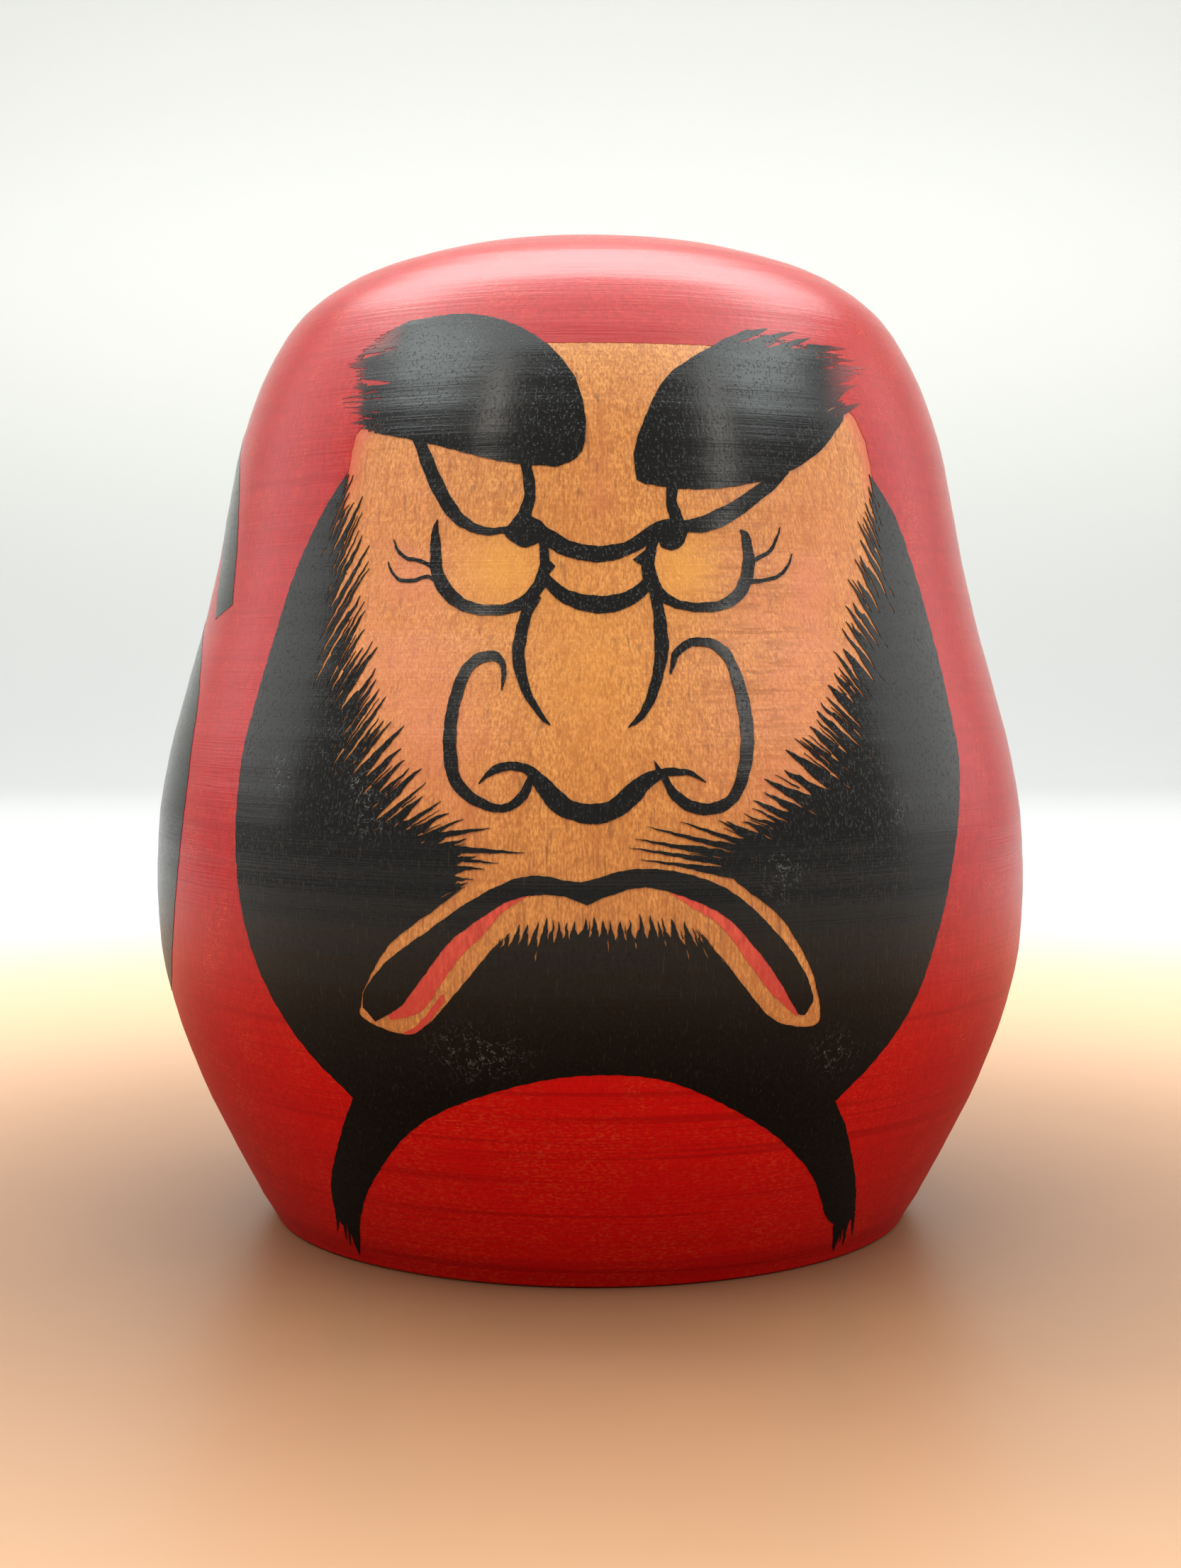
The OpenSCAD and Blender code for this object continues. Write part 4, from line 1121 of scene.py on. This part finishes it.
def wear(p):
    """Where the ink is thin at the ends of the brows, and where it is scratched."""
    x, z = p.T
    left = np.clip((-20.5 - x) / 4, 0, 1) * np.clip((z - 102) / 2.2, 0, 1)
    left = np.maximum(left, 0.45 * np.clip((-24.6 - x) / 1.5, 0, 1) * (z > 93))
    right = np.clip((x - 25.5) / 5, 0, 1) * np.clip((z - 95) / 6, 0, 1)
    scratched = np.clip(patches(SCRATCHED, x, z), 0, 1)
    return {"thin": np.maximum(left, right), "scratched": scratched}


bridge_lower = inked(BRIDGE_LOWER) - pouch_left - pouch_right
for name, area, node in [
    ("brow_left_ink", brow_left, "brow_left"),
    ("brow_right_ink", brow_right, "brow_right"),
    ("lid_left_ink", lid_left - brow_left, "lid_line_left"),
    ("lid_right_ink", lid_right - brow_right, "lid_line_right"),
    ("bridge_upper_ink", bridge_upper - lid_left - lid_right, "bridge_line_upper"),
    ("pouch_left_ink", pouch_left - lid_left - bridge_upper, "eye_pouch_left"),
    ("pouch_right_ink", pouch_right - lid_right - bridge_upper, "eye_pouch_right"),
    ("lashes_left_ink", inked(*LASHES_LEFT) - pouch_left, "lashes_left"),
    ("lashes_right_ink", inked(*LASHES_RIGHT) - pouch_right, "lashes_right"),
    ("nose_side_left_ink", nose_side_left - pouch_left, "nose_side_left"),
    ("nose_side_right_ink", nose_side_right - pouch_right, "nose_side_right"),
    ("bridge_lower_ink", bridge_lower - nose_side_left - nose_side_right, "bridge_line_lower"),
    ("nose_tip_ink", nose_tip, "nose_tip_line"),
    ("nostril_left_ink", inked(NOSTRIL_LEFT) - nose_tip, "nostril_left"),
    ("nostril_right_ink", inked(NOSTRIL_RIGHT) - nose_tip, "nostril_right"),
    ("mouth_ink", mouth, "mouth_line"),
    ("beard_ink", beard, "beard"),
]:
    finished(coat(name, area, from_front, INK_LIFT, wear), "black_ink", node)
for name, area, node in [
    ("sleeve_upper_ink", fold_upper, "sleeve_stroke_upper"),
    ("sleeve_lower_ink", fold_lower, "sleeve_stroke_lower"),
]:
    finished(coat(name, area, from_side, INK_LIFT), "black_ink", node)
for name, area, node in [
    ("lip_left_red", inked(LIP_LEFT, LIP_FRINGE) - mouth - beard, "lip_left"),
    ("lip_right_red", inked(LIP_RIGHT) - mouth - beard, "lip_right"),
]:
    finished(coat(name, area, from_front, DYE_LIFT), "lip_dye", node)

# ---- floor, light and camera ----


def stage_with_painted_shadow():
    """Painted contact shadow in dark warm brown right beside the doll, pale peach round it, and near
    white further off.
    """
    # The dark brown base colour is painted shadow round the doll's foot. It fades into peach from
    # 0.05 to 0.20 m off the axis.
    look = Look("stage_painted_shadow", 0.24, 0.120, 0.060)
    look.tint(look.noise((0.05, 0.05, 0.05), 4.0), 0.27, 0.135, 0.068)
    away = look.add("ShaderNodeVectorMath", {0: look.spot()}, operation="LENGTH").outputs["Value"]
    look.tint(look.part(away, 0.05, 0.20), 0.62, 0.37, 0.215)
    look.tint(look.part(away, 0.17, 0.38), 0.54, 0.54, 0.535)
    look.tint(look.rise(0.0, 0.4), 0.86, 0.85, 0.81)
    return look.done({"Roughness": 0.4})


def build_stage():
    """A pale floor that sweeps up into a backdrop, in metres."""
    depth, bend_r, rise, wide, bend_steps = 0.9, 0.5, 2.2, 3.0, 24
    line = [(-2.5, 0.0), (-1.2, 0.0), (0.0, 0.0), (depth, 0.0)]
    for a in np.radians(np.arange(1, bend_steps + 1) * 90 / bend_steps):
        line.append((depth + bend_r * math.sin(a), bend_r * (1 - math.cos(a))))
    line.append((depth + bend_r, rise))
    vertices = np.array([(x, y, z) for y, z in line for x in (-wide, wide)])
    faces = [(2 * i, 2 * i + 1, 2 * i + 3, 2 * i + 2) for i in range(len(line) - 1)]
    stage = mesh_object("stage", vertices, faces, unit=1)
    stage.data.materials.append(stage_with_painted_shadow())


COOL = (0.92, 1.0, 0.98)


def area_light(name, azimuth, elevation, distance, wide, tall, watts, colour=(1, 1, 1)):
    """A soft light that faces the doll's middle, placed in degrees and metres."""
    light = bpy.data.lights.new(name, "AREA")
    light.shape = "RECTANGLE"
    light.size, light.size_y = wide, tall
    light.energy = watts
    light.color = colour
    lamp = bpy.data.objects.new(name, light)
    a, e = math.radians(azimuth), math.radians(elevation)
    middle = UP * TALL / 2
    lamp.location = (
        distance * math.sin(a) * math.cos(e),
        -distance * math.cos(a) * math.cos(e),
        distance * math.sin(e) + middle,
    )
    lamp.rotation_euler = (math.pi / 2 - e, 0, a)
    bpy.context.scene.collection.objects.link(lamp)
    return lamp


build_stage()
area_light("top_light", 0, 82, 1.02, 2.4, 1.15, 23, COOL)
area_light("crown_light", 180, 68, 1.0, 1.6, 0.6, 14)
area_light("left_side", -103, 25, 1.1, 0.8, 0.7, 2.1)
area_light("right_side", 104, 18, 1.1, 0.8, 0.7, 2.0)
area_light("left_high", -62, 45, 1.1, 0.5, 0.36, 1.6, COOL)
area_light("right_high", 67, 41, 1.1, 0.5, 0.36, 1.6, COOL)
area_light("left_light", -33, 37, 1.1, 0.07, 0.34, 0.7, (1.0, 0.93, 0.84))
area_light("right_light", 42, 32, 1.1, 0.07, 0.40, 0.75, (1.0, 0.95, 0.88))
# This one is turned to the backdrop.
backdrop_lamp = area_light("backdrop_light", 180, 75, 1.5, 2.0, 0.8, 2.5)
backdrop_lamp.rotation_euler = (math.radians(52), 0, 0)

world = bpy.data.worlds.new("studio")
world.use_nodes = True
background = world.node_tree.nodes["Background"]
background.inputs["Color"].default_value = (1.0, 0.985, 0.95, 1)
background.inputs["Strength"].default_value = 0.30
bpy.context.scene.world = world
bpy.context.scene.view_settings.view_transform = "Standard"

# The camera stands so many heights of the doll in front of it and above the floor.
CAMERA_BACK = 2.245
CAMERA_UP = 0.57
CAMERA_PITCH = math.radians(3.24)
camera = bpy.data.cameras.new("camera")
camera.sensor_width = 36
camera.sensor_fit = "AUTO"
camera.lens = 48.82
camera.clip_start = 0.01
eye = bpy.data.objects.new("camera", camera)
eye.location = (0, -CAMERA_BACK * TALL * UP, CAMERA_UP * TALL * UP)
eye.rotation_euler = (math.pi / 2 - CAMERA_PITCH, 0, 0)
bpy.context.scene.collection.objects.link(eye)
bpy.context.scene.camera = eye
